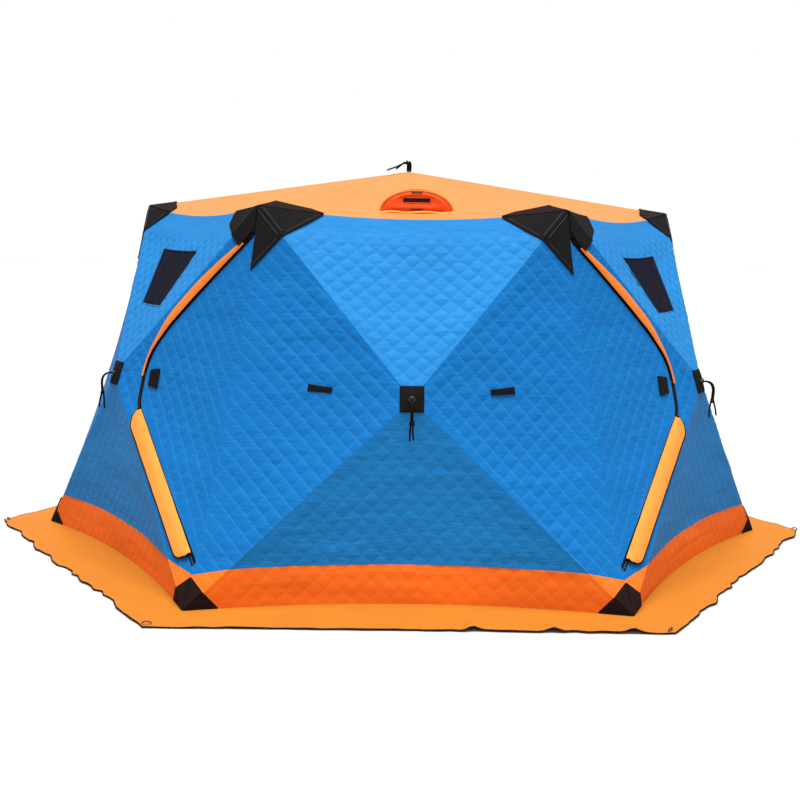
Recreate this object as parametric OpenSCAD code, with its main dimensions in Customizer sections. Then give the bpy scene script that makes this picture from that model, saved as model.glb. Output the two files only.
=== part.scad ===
// Six-sided pop-up thermal ice fishing hut: quilted fabric walls popped out by
// a pole-and-hub frame, a low six-gore roof, two zip doors, four windows, a
// snow skirt on the ground. Origin: bottom centre of the footprint, front
// wall toward -Y. Millimetres.

/* [Overall size] */
// Distance from the centre to each ground corner (also the length of a side)
ground_r = 2000; // [1600:10:2400]
// Distance from the centre to each top corner
eave_r = 1430; // [1100:10:1700]
// Height of the top corners of the walls
eave_h = 1790; // [1500:10:2000]
// Height of the roof hub
apex_h = 2000; // [1800:10:2300]
// Distance from the centre to each wall hub
hub_out = 1695; // [1500:5:1900]
// Height of each wall hub
hub_h = 960; // [800:10:1100]

/* [Fabric] */
// Thickness of the quilted skin of the walls, doors and bands
skin_t = 6; // [5:0.5:12]
// Thickness of the roof skin
roof_t = 6; // [5:0.5:12]
// How far the corner seams bow inward at mid height
seam_in = 55; // [0:5:120]
// How far the hem of a wall bows inward at its middle
hem_in = 65; // [0:5:120]
// How far the middle of the hem lifts off the ground
hem_up = 25; // [0:5:60]
// How far the seam under the roof bows inward at the middle of a wall
eave_in = 5; // [0:1:60]
// How far the seam under the roof sags at the middle of a wall
eave_sag = 50; // [0:5:100]
// Segments along each bowed edge
edge_n = 12; // [6:1:20]
// Clearance under pieces that are sewn on a wall
lay = 1; // [0.8:0.1:2]

/* [Base band and snow skirt] */
// Top edge of the band, as a share of the way from hub to hem
band_r = 0.8; // [0.7:0.01:0.9]
// Top edge of the band on the corner seam, as a share of the seam
band_t = 0.085; // [0.06:0.01:0.15]
// Distance from the centre to the outer corners of the skirt
skirt_r = 2290; // [2100:10:2500]
// Thickness of the skirt
skirt_t = 5; // [4:0.5:10]

/* [Corner caps] */
// Thickness of the corner caps
cap_t = 4; // [3:0.5:8]
// Reach of the top caps along the roof seam, as a share of the seam
cap_along = 0.21; // [0.1:0.01:0.3]
// Notch of the top caps on the pole line, as a share of the way out
cap_notch = 0.838; // [0.75:0.002:0.95]
// Lower end of the top caps on the corner seam, as a share of the seam
cap_down = 0.838; // [0.75:0.002:0.95]
// Reach of the top caps toward the roof hub, as a share of the way out
cap_roof = 0.9; // [0.8:0.01:0.97]
// Lower end on the corner seam beside a doorway, as a share of the seam
cap_by_door = 0.945; // [0.93:0.005:0.97]
// Reach along the roof seam of a wall with a door, as a share of the seam
cap_door_along = 0.18; // [0.1:0.01:0.3]
// Reach of the bottom caps along the hem and up the seam, share of each
foot_reach = 0.075; // [0.04:0.005:0.12]
// Reach of the bottom caps along the pole line, as a share of the line
foot_pole = 0.084; // [0.04:0.002:0.12]

/* [Windows] */
// Inner and outer edge of a window, as shares of the way from hub to roof
win_in = 0.425; // [0.3:0.005:0.6]
win_out = 0.775; // [0.6:0.005:0.9]
// Half of a window's width, as a share of the roof seam
win_half = 0.21; // [0.1:0.01:0.3]
// Thickness of the window sheet
win_t = 3; // [2:0.5:5]

/* [Doors] */
// Gap around a closed door
door_gap = 8.5; // [5:0.5:12]
// Width of the zip tape round the doorway
tape_w = 12; // [8:1:20]
// Thickness of the flaps that cover the zips
flap_t = 4; // [3:0.5:6]
// Width of the lower zip flap
flap_w = 85; // [60:5:110]

/* [Frame] */
// Diameter of the poles
pole_d = 11; // [8:0.5:16]
// Diameter of a wall hub
hub_d = 90; // [70:5:120]
// Depth of a hub
hub_t = 34; // [24:2:50]
// Lean of a wall hub's axis, up from level
hub_lean = 14; // [0:1:25]
// Distance of a wall hub behind the tip of its wall
hub_back = 24; // [20:1:40]

/* [Roof vent] */
// Width of the hood
vent_w = 350; // [250:10:450]
// Height of the hood
vent_h = 100; // [80:5:150]
// Width of the hole in the roof under the hood
vent_hole = 180; // [100:10:220]
// Distance of the hood's front from the roof hub, as a share of the way out
vent_at = 0.87; // [0.7:0.01:0.92]
// Distance of the hood to the right of the wall's middle
vent_side = 20; // [-60:5:60]
// Width of the hood where it runs out on the roof
tail_w = 120; // [80:10:200]
// Width of the slot in the panel
slot_w = 130; // [80:5:180]
// Height of the slot in the panel
slot_h = 24; // [12:2:36]
// Thickness of the hood and of its panel
vent_t = 4; // [3:0.5:8]

/* [Small parts] */
// Half of the side of the square patch over each wall hub
patch_h = 55; // [40:1:70]
// Thickness of patches and webbing
tab_t = 3; // [2:0.5:5]
// Diameter of the pull cords
cord_d = 8; // [5:0.5:10]
// Diameter of the bolt through each hub
bolt_d = 14; // [10:1:20]

/* [Hidden] */
$fn = 32;
c30 = cos(30);
apex = [0, 0, apex_h];
hub = [0, -hub_out, hub_h];
// routes of the pull cords, from where they leave their bolts
wall_cord_route = [[0, 0, 0], [1, -16, -2], [2, -34, -8], [2, -46, -22], [1, -50, -42],
  [0, -50, -64], [-1, -49, -86], [-2, -47, -108], [-4, -45, -132], [-5, -43, -156],
  [-4, -41, -178]];
roof_cord_route = [[0, 0, 0], [0, -2, 16], [-4, -5, 30], [-15, -9, 37], [-30, -13, 35],
  [-46, -18, 26], [-64, -25, 16], [-84, -32, 8], [-104, -39, 2], [-120, -46, -4]];

blue = [0.20, 0.49, 0.78];
sky = [0.23, 0.63, 0.92];
orange = [0.98, 0.44, 0.11];
pale_orange = [0.98, 0.68, 0.36];
red = [0.95, 0.32, 0.09];
black = [0.13, 0.12, 0.13];
brown = [0.19, 0.12, 0.11];
navy = [0.14, 0.14, 0.20];
grey = [0.35, 0.35, 0.37];

// --- points on a wall that faces -Y -----------------------------------------
function mix(a, b, t) = a + (b - a) * t;
function bow(t) = 4 * t * (1 - t);
function ground_pt(s) = [s * ground_r / 2, -ground_r * c30, 0];
function eave_pt(s) = [s * eave_r / 2, -eave_r * c30, eave_h];
function hem(t) = mix(ground_pt(-1), ground_pt(1), t) + bow(t) * [0, hem_in, hem_up];
function eave(t) = mix(eave_pt(-1), eave_pt(1), t) + bow(t) * [0, eave_in, -eave_sag];
function seam(s, t) = mix(ground_pt(s), eave_pt(s), t)
  + bow(t) * seam_in * [-s * 0.5, c30, 0];
function out_from_hub(e, r) = hub + r * (e - hub);
function on_low(t, r) = out_from_hub(hem(t), r);
function on_top(t, r) = out_from_hub(eave(t), r);
function on_side(s, t, r) = out_from_hub(seam(s, t), r);
function on_roof(t, r) = apex + r * (eave(t) - apex);

// direction out of a wall, mitred with the next wall at the corners
function out_wall(p) = [p.x / -p.y, -1, 0];
function push(p, d) = p + d * out_wall(p);
function push_rim(p, d) = p + d * (out_wall(p) + [0, 0, 1]);
function turn(p, a) = [p.x * cos(a) - p.y * sin(a), p.x * sin(a) + p.y * cos(a), p.z];

// --- solids from points ------------------------------------------------------
// matching outer and inner points joined into one closed solid; tri lists the
// outer triangles and rim the outer boundary, counter-clockwise from outside.
// The rim's quads split from the lower outer point, so neighbours match.
module mesh_solid(outer, inner, tri, rim) {
  n = len(outer);
  m = len(rim);
  polyhedron(points = concat(outer, inner), faces = concat(
    [for (f = tri) [f[2], f[1], f[0]]],
    [for (f = tri) [f[0] + n, f[1] + n, f[2] + n]],
    [for (i = [0:m - 1]) let (a = rim[i], b = rim[(i + 1) % m]) each
      outer[a].z < outer[b].z
        ? [[a, b, b + n], [a, b + n, a + n]]
        : [[a, b, a + n], [b, b + n, a + n]]]));
}

// open grids of points: columns run right and rows run up, seen from outside
module grid_solid(outer, inner) {
  nr = len(outer);
  nc = len(outer[0]);
  tri = [for (i = [0:nr - 2]) for (j = [0:nc - 2]) each
    [[i * nc + j, i * nc + j + 1, (i + 1) * nc + j + 1],
     [i * nc + j, (i + 1) * nc + j + 1, (i + 1) * nc + j]]];
  rim = concat([for (j = [0:nc - 1]) j],
    [for (i = [1:nr - 1]) i * nc + nc - 1],
    [for (j = [nc - 2:-1:0]) (nr - 1) * nc + j],
    [for (i = [nr - 2:-1:1]) i * nc]);
  mesh_solid([for (row = outer) each row], [for (row = inner) each row], tri, rim);
}

// a grid on a wall's surface given a thickness from up to down
module slab(rows, up, down) {
  grid_solid([for (row = rows) [for (p = row) push(p, up)]],
    [for (row = rows) [for (p = row) push(p, down)]]);
}

// the same grid just thick enough to cut through a skin
module cutter(rows) { slab(rows, skin_t, -2 * skin_t); }

// a centre point and a closed loop round it, outer and inner, as one solid
module fan_solid(c_out, loop_out, c_in, loop_in) {
  m = len(loop_out);
  mesh_solid(concat([c_out], loop_out), concat([c_in], loop_in),
    [for (i = [0:m - 1]) [0, 1 + i, 1 + (i + 1) % m]], [for (i = [1:m]) i]);
}

// straight round bar between two points
module bar(a, b, d) {
  v = b - a;
  translate(a)
    rotate([0, acos(v.z / norm(v)), atan2(v.y, v.x)])
      cylinder(d = d, h = norm(v));
}

// round tube along a list of points
module tube(pts, d, sides = 10) {
  n = len(pts);
  dir = [for (i = [0:n - 1])
    let (v = pts[min(i + 1, n - 1)] - pts[max(i - 1, 0)]) v / norm(v)];
  ring = [for (i = [0:n - 1])
    let (w = dir[i], h = abs(w.x) < 0.9 ? [1, 0, 0] : [0, 1, 0],
      a = cross(w, h) / norm(cross(w, h)), b = cross(w, a))
      for (k = [0:sides - 1])
        pts[i] + d / 2 * (cos(360 * k / sides) * a + sin(360 * k / sides) * b)];
  polyhedron(points = ring, faces = concat(
    [[for (k = [0:sides - 1]) k]],
    [[for (k = [sides - 1:-1:0]) (n - 1) * sides + k]],
    [for (i = [0:n - 2]) for (k = [0:sides - 1]) let (q = (k + 1) % sides) each
      [[i * sides + k, (i + 1) * sides + k, (i + 1) * sides + q],
       [i * sides + k, (i + 1) * sides + q, i * sides + q]]]));
}

// --- walls ----------------------------------------------------------------------
edge_t = [for (i = [0:edge_n]) i / edge_n];
side_t = [for (i = [0:edge_n]) mix(band_t, 1, i / edge_n)];

module hub_bore(d) {
  translate([0, -hub_out + 60, hub_h]) rotate([90, 0, 0]) cylinder(d = d, h = 120);
}

module wall_skin() {
  low = [for (t = edge_t) on_low(t, band_r)];
  right = [for (t = side_t) if (t < 1) seam(1, t)];
  top = [for (i = [edge_n:-1:0]) eave(edge_t[i])];
  left = [for (i = [edge_n - 1:-1:0]) seam(-1, side_t[i])];
  fan_solid(hub, concat(low, right, top, left),
    push(hub, -skin_t), concat([for (p = concat(low, right)) push(p, -skin_t)],
      [for (p = top) push_rim(p, -skin_t)], [for (p = left) push(p, -skin_t)]));
}

module plain_wall() {
  difference() { wall_skin(); hub_bore(bolt_d + 0.6); }
}

module band() {
  n = edge_n;
  points = concat([for (t = edge_t) hem(t)], [for (t = edge_t) on_low(t, band_r)],
    [seam(-1, band_t), seam(1, band_t)]);
  tri = concat([for (i = [0:n - 1]) let (k = n + 1 + i) each
    [[i, i + 1, k + 1], [i, k + 1, k]]],
    [[0, n + 1, 2 * n + 2], [n, 2 * n + 3, 2 * n + 1]]);
  rim = concat([for (i = [0:n]) i], [2 * n + 3], [for (i = [n:-1:0]) n + 1 + i],
    [2 * n + 2]);
  mesh_solid(points, [for (p = points) push(p, -skin_t)], tri, rim);
}

// --- windows ----------------------------------------------------------------------
// rows of points over a window, drawn in from its edges by g
function win_rows(g) = [for (r = [win_in + g / seam_len, win_out - g / seam_len])
  [for (i = [-3:3]) on_top(0.5 + i / 3 * (win_half - g / eave_r), r)]];
module window_cut() { cutter(win_rows(0)); }
module window_sheet() { slab(win_rows(2 * lay), -1.5, -1.5 - win_t); }

// --- doorway in the side facet next to the front corner ------------------------------
// outline: how high the door reaches (hi) and how low (lo) on its way from the
// nose by the hub out to the corner seam, all as shares
door_r = [0.276, 0.283, 0.295, 0.315, 0.345, 0.39, 0.45, 0.6, 0.8, 1];
function door_hi(r) = lookup(r, [[0.276, 0.55], [0.283, 0.63], [0.295, 0.70],
  [0.315, 0.76], [0.345, 0.805], [0.39, 0.845], [0.45, 0.875], [0.6, 0.905],
  [0.8, 0.922], [1, 0.928]]);
function door_lo(r) = lookup(r, [[0.276, 0.36], [0.283, 0.30], [0.295, 0.265],
  [0.315, 0.245], [0.345, 0.227], [0.39, 0.208], [0.45, 0.186], [0.6, 0.151],
  [0.8, 0.125], [1, 0.11]]);
seam_len = norm(eave_pt(1) - ground_pt(1));

// the facet's own plane: shares along the seam and out from the hub, to and from
// millimetres
to_foot = ground_pt(1) - hub;
to_eave = eave_pt(1) - hub;
foot_axis = to_foot / norm(to_foot);
rise_axis = cross(cross(foot_axis, to_eave), foot_axis) / norm(cross(foot_axis, to_eave));
function flat(q) = let (v = q[1] * mix(to_foot, to_eave, q[0])) [v * foot_axis, v * rise_axis];
function shares(f) = let (b = f.y / (to_eave * rise_axis),
  a = (f.x - b * (to_eave * foot_axis)) / norm(to_foot)) [b / (a + b), a + b];

// the door's outline round from the seam's foot, past the nose, to its top, each
// corner moved out by g
door_line = [for (i = [9:-1:0]) flat([door_lo(door_r[i]), door_r[i]]),
  for (r = door_r) flat([door_hi(r), r])];
function side_of(a, b) = [b.y - a.y, a.x - b.x] / norm(b - a);
function grown(i, g) = let (n = len(door_line), p = door_line[i],
  before = i == 0 ? side_of(p, door_line[1]) : side_of(door_line[i - 1], p),
  after = i == n - 1 ? before : side_of(p, door_line[i + 1]),
  m = before + after)
  shares(p - 2 * g * m / (m * m));

// rows from the nose of the door out to r_end, grown by g all round
function reach(a, b, r_end) = mix(a, b, (r_end - a[1]) / (b[1] - a[1]));
function door_rows(g, r_end) = [for (i = [0:9])
  let (low = i < 9 ? grown(9 - i, g) : reach(grown(1, g), grown(0, g), r_end),
    high = i < 9 ? grown(10 + i, g) : reach(grown(18, g), grown(19, g), r_end))
    [for (j = [0:8]) let (q = mix(high, low, j / 8)) on_side(1, q[0], q[1])]];

module door_wall() {
  difference() {
    plain_wall();
    cutter(door_rows(door_gap + tape_w, 1.05));
  }
}

module zip_tape() {
  difference() {
    slab(door_rows(door_gap + tape_w - lay, 0.985), 0, -skin_t);
    cutter(door_rows(door_gap, 1.05));
  }
}

module door_skin() { slab(door_rows(0, 0.986), 0, -skin_t); }

// a point beside the lower edge of the door, d outward from it
function low_edge(r, d) = on_side(1, door_lo(r) - d / (seam_len * r), r);

// sewn to the door, then clear of the wall beyond the doorway's edge
module zip_flap() {
  across = [-30, -12, -6, flap_w / 2 - 18, flap_w - 30];
  lift = [lay, lay, door_gap, door_gap, door_gap];
  rows = [for (r = [0.3, 0.33, 0.38, 0.45, 0.55, 0.65, 0.75, 0.85, 0.94])
    [for (d = across) low_edge(r, d)]];
  grid_solid(
    [for (row = rows) [for (j = [0:4]) push(row[j], door_gap + flap_t)]],
    [for (row = rows) [for (j = [0:4]) push(row[j], lift[j])]]);
}

// sewn on the wall beyond the zip: from the nose, where it is narrow, up to the cap
module upper_flap() {
  function at(i, g) = i < 19 ? grown(i, g) : reach(grown(18, g), grown(19, g), 0.86);
  slab([for (i = [9:19])
    [for (d = [min(57, 16 + 7 * (i - 9)), 8]) let (q = at(i, door_gap + d))
      on_side(1, q[0], q[1])]],
    lay + flap_t, lay);
}

module door_tab() {
  slab([for (r = [0.325, 0.405]) [for (t = [0.6, 0.53, 0.47]) on_side(1, t, r)]],
    lay + tab_t, lay);
}

// --- roof, skirt, caps ----------------------------------------------------------------
module roof_skin() {
  loop = [for (k = [0:5]) for (i = [0:edge_n - 1]) turn(eave(edge_t[i]), 60 * k)];
  loop_in = [for (k = [0:5]) for (i = [0:edge_n - 1])
    turn(push_rim(eave(edge_t[i]), -roof_t), 60 * k)];
  difference() {
    fan_solid(apex, loop, apex - [0, 0, roof_t], loop_in);
    translate([0, 0, apex_h - 60]) cylinder(d = bolt_d + 0.6, h = 120);
    translate(vent_base + [-vent_hole / 2, 40, -60]) cube([vent_hole, vent_hole * 0.6, 160]);
  }
}

// closed ring from the hem out over the ground
module skirt_ring() {
  m = 6 * edge_n;
  at = [for (k = [0:5]) for (i = [0:edge_n - 1]) [k, edge_t[i]]];
  up = [0, 0, skirt_t];
  inner = [for (q = at) turn(push(hem(q[1]), lay), 60 * q[0])];
  mid = [for (q = at) let (p = hem(q[1])) turn([p.x * 1.04, p.y * 1.04, 0], 60 * q[0])];
  rim = [for (q = at) turn(mix([-skirt_r / 2, -skirt_r * c30, 0],
    [skirt_r / 2, -skirt_r * c30, 0], q[1]), 60 * q[0])];
  pts = concat(inner, mid, rim, [for (p = rim) p + up], [for (p = mid) p + up],
    [for (p = inner) p + up]);
  polyhedron(points = pts, faces = [for (g = [0:5]) for (i = [0:m - 1])
    let (h = (g + 1) % 6, j = (i + 1) % m) each
      [[h * m + j, g * m + j, g * m + i], [h * m + i, h * m + j, g * m + i]]]);
}

// patch over a top corner, between this wall's left side and the wall before it;
// beside a doorway it is cut back round the end of the zip on the wall before
module top_cap(by_door = false) {
  a = cap_along;
  b = by_door ? cap_door_along : a;
  half = (1 + cap_roof) / 2;
  low_t = by_door ? cap_by_door : (1 + cap_down) / 2;
  function layer(d) = concat([push_rim(eave_pt(-1), d), push_rim(eave(a), d),
    push_rim(eave(a / 2), d), push(on_top(0, cap_notch), d), push(seam(-1, cap_down), d),
    push(seam(-1, low_t), d), turn(push(on_top(1, cap_notch), d), -60),
    turn(push_rim(eave(1 - b / 2), d), -60), turn(push_rim(eave(1 - b), d), -60),
    turn(on_roof(1 - b * 0.7, half), -60) + [0, 0, d], on_roof(0, cap_roof) + [0, 0, d],
    on_roof(a * 0.7, half) + [0, 0, d]],
    by_door ? [for (p = [on_side(1, 0.938, 0.9), on_side(1, 0.936, 0.95), on_top(0.86, 0.92)])
      turn(push(p, d), -60)] : []);
  shared = [[3, 0, 5], [3, 2, 0], [3, 1, 2], [3, 5, 4], [0, 2, 1], [0, 1, 11],
    [0, 11, 10], [0, 10, 9], [0, 9, 8], [0, 8, 7], [6, 0, 7], [6, 7, 8]];
  if (by_door)
    mesh_solid(layer(lay + cap_t), layer(lay),
      concat(shared, [[6, 12, 0], [12, 13, 0], [13, 5, 0], [6, 8, 14]]),
      [1, 11, 10, 9, 8, 14, 6, 12, 13, 5, 4, 3]);
  else
    mesh_solid(layer(lay + cap_t), layer(lay), concat(shared, [[6, 5, 0], [6, 4, 5]]),
      [1, 11, 10, 9, 8, 6, 4, 3]);
}

module foot_cap() {
  f = foot_reach;
  lift = [0, 0, skirt_t + lay];
  function layer(d) = [push(hem(0), d) + lift, push(hem(f), d) + lift,
    push(on_low(0, 1 - foot_pole), d), push(seam(-1, f), d),
    turn(push(on_low(1, 1 - foot_pole), d), -60), turn(push(hem(1 - f), d) + lift, -60)];
  mesh_solid(layer(lay + cap_t), layer(lay),
    [for (i = [1:4]) [0, i, i + 1]], [for (i = [0:5]) i]);
}

// --- frame -------------------------------------------------------------------------------
inset = skin_t + pole_d / 2 + 8;
bolt_out = tab_t + 9;
roof_hub_top = apex_h - roof_t - 12;
module wall_frame_poles(d) {
  h = hub + (hub_back + hub_t / 2) * [0, cos(hub_lean), -sin(hub_lean)];
  for (s = [-1, 1]) {
    g = push(ground_pt(s), -inset) + [0, 0, pole_d];
    e = push(eave_pt(s), -inset) - [0, 0, inset + 6];
    bar(mix(h, g, 0.025), mix(h, g, 0.985), d);
    bar(mix(h, e, 0.03), mix(h, e, 0.98), d);
  }
}

module wall_hub() {
  difference() {
    translate(hub)
      rotate([90 - hub_lean, 0, 0])
        translate([0, 0, -hub_back - hub_t])
          cylinder(d = hub_d, h = hub_t);
    wall_frame_poles(pole_d + 0.6);
  }
  translate(hub + [0, hub_back + 8, 0])
    rotate([90, 0, 0])
      cylinder(d = bolt_d, h = hub_back + 8 + bolt_out);
}

module hub_patch() {
  r = patch_h / (ground_r / 2);
  q = patch_h / (eave_r / 2) * 0.86;
  loop = [on_low(0, r), on_low(1, r), on_top(1, q), on_top(0, q)];
  difference() {
    fan_solid(push(hub, lay + tab_t), [for (p = loop) push(p, lay + tab_t)],
      push(hub, lay), [for (p = loop) push(p, lay)]);
    hub_bore(bolt_d + 0.6);
  }
}

module wall_tab() {
  slab([for (r = [0.435, 0.57]) [for (t = [0.575, 0.545]) on_side(1, t, r)]],
    lay + tab_t, lay);
}

// --- roof vent -----------------------------------------------------------------------------
vent_base = on_roof(0.5, vent_at) + [vent_side, 0, 5];
function half_round(c, w, h) = [for (a = [180:-15:0]) c + [w / 2 * cos(a), 0, h * sin(a)]];
module hood() {
  tail = on_roof(0.5, vent_at - 0.3) + [vent_side, 0, 3];
  grid_solid([half_round(vent_base, vent_w, vent_h), half_round(tail, tail_w, 14)],
    [half_round(vent_base, vent_w - 3 * vent_t, vent_h - 6),
     half_round(tail, tail_w - 3 * vent_t, 8)]);
}

module panel() {
  translate(vent_base)
    rotate([90, 0, 0])
      linear_extrude(vent_t)
        difference() {
          intersection() {
            scale([vent_w / 2 - 1, vent_h - 1]) circle(1, $fn = 64);
            translate([-vent_w, 0]) square([2 * vent_w, vent_h]);
          }
          translate([-slot_w / 2, vent_h * 0.42]) square([slot_w, slot_h]);
        }
}

// --- pull cords: a doubled cord out of the hub, a knot and two tails -------------------------
module pull_cord() {
  start = push(hub, bolt_out + lay);
  tube([for (p = wall_cord_route) start + p], cord_d);
}

module roof_cord() {
  start = apex + [0, 0, bolt_out + lay];
  tube([for (p = roof_cord_route) start + p], cord_d);
}

module roof_frame_poles(d) {
  for (k = [0:5]) rotate([0, 0, 60 * k]) {
    a = [0, 0, roof_hub_top - hub_t / 2];
    e = push(eave_pt(1), -70) - [0, 0, roof_t + pole_d + 2];
    bar(mix(a, e, 0.025), e, d);
  }
}

// --- nodes -------------------------------------------------------------------------------------
module mirrored() { mirror([1, 0, 0]) children(); }
module around(list) { for (k = list) rotate([0, 0, 60 * k]) children(); }

module front_wall() { color(blue) plain_wall(); }
module front_left_wall() {
  color(blue) rotate([0, 0, -60]) difference() { door_wall(); window_cut(); }
}
module front_right_wall() {
  color(blue) mirrored() rotate([0, 0, -60]) difference() { door_wall(); window_cut(); }
}
module back_left_wall() {
  color(blue) rotate([0, 0, -120]) difference() { plain_wall(); window_cut(); }
}
module back_right_wall() {
  color(blue) rotate([0, 0, 120]) difference() { plain_wall(); window_cut(); }
}
module back_wall() { color(blue) rotate([0, 0, 180]) plain_wall(); }
module front_band() { color(orange) band(); }
module front_left_band() { color(orange) around([-1]) band(); }
module front_right_band() { color(orange) around([1]) band(); }
module back_left_band() { color(orange) around([-2]) band(); }
module back_right_band() { color(orange) around([2]) band(); }
module back_band() { color(orange) around([3]) band(); }
module roof() { color(pale_orange) roof_skin(); }
module snow_skirt() { color(pale_orange) skirt_ring(); }
module top_corner_caps() {
  color(black) {
    around([2:5]) top_cap();
    top_cap(by_door = true);
    mirrored() top_cap(by_door = true);
  }
}
module bottom_corner_caps() { color(brown) around([0:5]) foot_cap(); }
module front_left_window() { color(navy) around([-1]) window_sheet(); }
module front_right_window() { color(navy) around([1]) window_sheet(); }
module back_left_window() { color(navy) around([-2]) window_sheet(); }
module back_right_window() { color(navy) around([2]) window_sheet(); }
module left_door() { color(sky) around([-1]) door_skin(); }
module right_door() { color(sky) mirrored() around([-1]) door_skin(); }
module left_zip_flap() { color(pale_orange) around([-1]) zip_flap(); }
module right_zip_flap() { color(pale_orange) mirrored() around([-1]) zip_flap(); }
module left_upper_flap() { color(orange) around([-1]) upper_flap(); }
module right_upper_flap() { color(orange) mirrored() around([-1]) upper_flap(); }
module left_zip_tape() { color(black) around([-1]) zip_tape(); }
module right_zip_tape() { color(black) mirrored() around([-1]) zip_tape(); }
module hub_patches() { color(black) around([0:5]) hub_patch(); }
module wall_tabs() { color(black) around([0, 3]) { wall_tab(); mirrored() wall_tab(); } }
module left_door_tab() { color(black) around([-1]) door_tab(); }
module right_door_tab() { color(black) mirrored() around([-1]) door_tab(); }
module wall_hubs() { color(grey) around([0:5]) wall_hub(); }
module roof_hub() {
  color(grey) {
    difference() {
      translate([0, 0, roof_hub_top - hub_t]) cylinder(d = hub_d, h = hub_t);
      roof_frame_poles(pole_d + 0.6);
    }
    translate([0, 0, roof_hub_top - 2])
      cylinder(d = bolt_d, h = apex_h + bolt_out - roof_hub_top + 2);
  }
}
module wall_poles() { color(grey) around([0:5]) wall_frame_poles(pole_d); }
module roof_poles() { color(grey) roof_frame_poles(pole_d); }
module vent_hood() { color(pale_orange) hood(); }
module vent_panel() { color(red) panel(); }
module front_pull_cord() { color(black) pull_cord(); }
module front_left_pull_cord() { color(black) around([-1]) pull_cord(); }
module front_right_pull_cord() { color(black) around([1]) pull_cord(); }
module back_left_pull_cord() { color(black) around([-2]) pull_cord(); }
module back_right_pull_cord() { color(black) around([2]) pull_cord(); }
module back_pull_cord() { color(black) around([3]) pull_cord(); }
module roof_pull_cord() { color(black) roof_cord(); }

front_wall();
front_left_wall();
front_right_wall();
back_left_wall();
back_wall();
back_right_wall();
front_band();
front_left_band();
front_right_band();
back_left_band();
back_band();
back_right_band();
roof();
snow_skirt();
top_corner_caps();
bottom_corner_caps();
front_left_window();
front_right_window();
back_left_window();
back_right_window();
left_door();
right_door();
left_zip_flap();
right_zip_flap();
left_upper_flap();
right_upper_flap();
left_zip_tape();
right_zip_tape();
hub_patches();
wall_tabs();
left_door_tab();
right_door_tab();
wall_hubs();
roof_hub();
wall_poles();
roof_poles();
vent_hood();
vent_panel();
front_pull_cord();
front_left_pull_cord();
front_right_pull_cord();
back_left_pull_cord();
back_pull_cord();
back_right_pull_cord();
roof_pull_cord();
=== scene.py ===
import math

import bmesh
import bpy
import numpy as np
from mathutils import Matrix, Vector


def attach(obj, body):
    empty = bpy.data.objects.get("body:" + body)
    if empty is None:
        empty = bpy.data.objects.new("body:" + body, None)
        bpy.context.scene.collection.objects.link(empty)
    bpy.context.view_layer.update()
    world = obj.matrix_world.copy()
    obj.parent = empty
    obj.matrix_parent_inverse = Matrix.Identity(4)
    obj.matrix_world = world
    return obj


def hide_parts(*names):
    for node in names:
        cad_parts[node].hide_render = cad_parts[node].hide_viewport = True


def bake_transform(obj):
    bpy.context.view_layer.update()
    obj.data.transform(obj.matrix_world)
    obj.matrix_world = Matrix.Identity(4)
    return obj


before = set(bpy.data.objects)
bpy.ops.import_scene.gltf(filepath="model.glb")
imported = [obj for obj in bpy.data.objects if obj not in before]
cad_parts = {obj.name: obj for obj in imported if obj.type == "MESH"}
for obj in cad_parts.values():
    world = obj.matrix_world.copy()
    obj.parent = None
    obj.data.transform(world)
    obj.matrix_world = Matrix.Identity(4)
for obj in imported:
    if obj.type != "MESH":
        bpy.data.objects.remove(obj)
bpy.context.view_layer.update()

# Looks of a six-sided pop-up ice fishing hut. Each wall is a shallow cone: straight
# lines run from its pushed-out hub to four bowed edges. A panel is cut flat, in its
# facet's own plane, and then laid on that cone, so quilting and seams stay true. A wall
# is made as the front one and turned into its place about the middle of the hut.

# --- the hut's own sizes, in metres ---
GROUND_R = 2.0  # centre to a ground corner
EAVE_R = 1.43  # centre to a top corner
EAVE_H = 1.79
APEX_H = 2.0
HUB_OUT = 1.695  # centre to a wall hub
HUB_H = 0.96
SEAM_IN = 0.055  # inward bow of the corner seams
HEM_IN, HEM_UP = 0.065, 0.025  # inward bow and lift of the hem
EAVE_IN, EAVE_SAG = 0.005, 0.05  # inward bow and sag of the seam under the roof
SKIN = 0.006  # thickness of the padded cloth
DOOR_SKIN = 0.0095  # a door's cloth, which has to keep its thickness where it bends
BAND_R, BAND_T = 0.8, 0.085  # top edge of the base band at the poles and the seams
SKIRT_R = 2.29  # centre to a corner of the snow skirt
WIN_IN, WIN_OUT, WIN_HALF = 0.425, 0.775, 0.21  # window, as shares of its facet
CAP_ALONG = 0.21  # a top cap's reach along the seam under the roof
CAP_DOOR_ALONG = 0.18  # the same beside a doorway
CAP_NOTCH, CAP_DOWN, CAP_ROOF = 0.838, 0.838, 0.9  # its ends at the poles and the seam
CAP_BY_DOOR = 0.945  # its end on the corner seam above a zip
CAP_LOW, CAP_HIGH, CAP_OVER_ZIP = 0.002, 0.0065, 0.014  # its faces' heights off the wall
FOOT, FOOT_POLE = 0.075, 0.084  # a bottom cap's reach along the hem and up the seam
FOOT_LIFT = 0.006  # a bottom cap stands this far above the hem
CAP_PUFF = 0.0008  # how much a cap swells inside its edge
HUB_PATCH = 0.054  # half of the width of the patch over a hub
VENT_SIDE = 0.02  # how far the vent stands right of the middle
VENT_AT, VENT_W, VENT_H = 0.87, 0.35, 0.1
CORD_D = 0.0085
CORD_OUT = 0.0125  # where a cord comes out, beyond its hub's place
DOOR_GAP, TAPE_W = 0.0085, 0.012  # gap round a door, and the zip tape in it
ZIP_END, DOOR_END = 0.985, 0.99  # where the zip and the door's edges stop at the seam
LOWER_FLAP_W, UPPER_FLAP_W = 0.072, 0.058
QUILT = 0.06  # side of a quilted square, which stands on its corner
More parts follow.
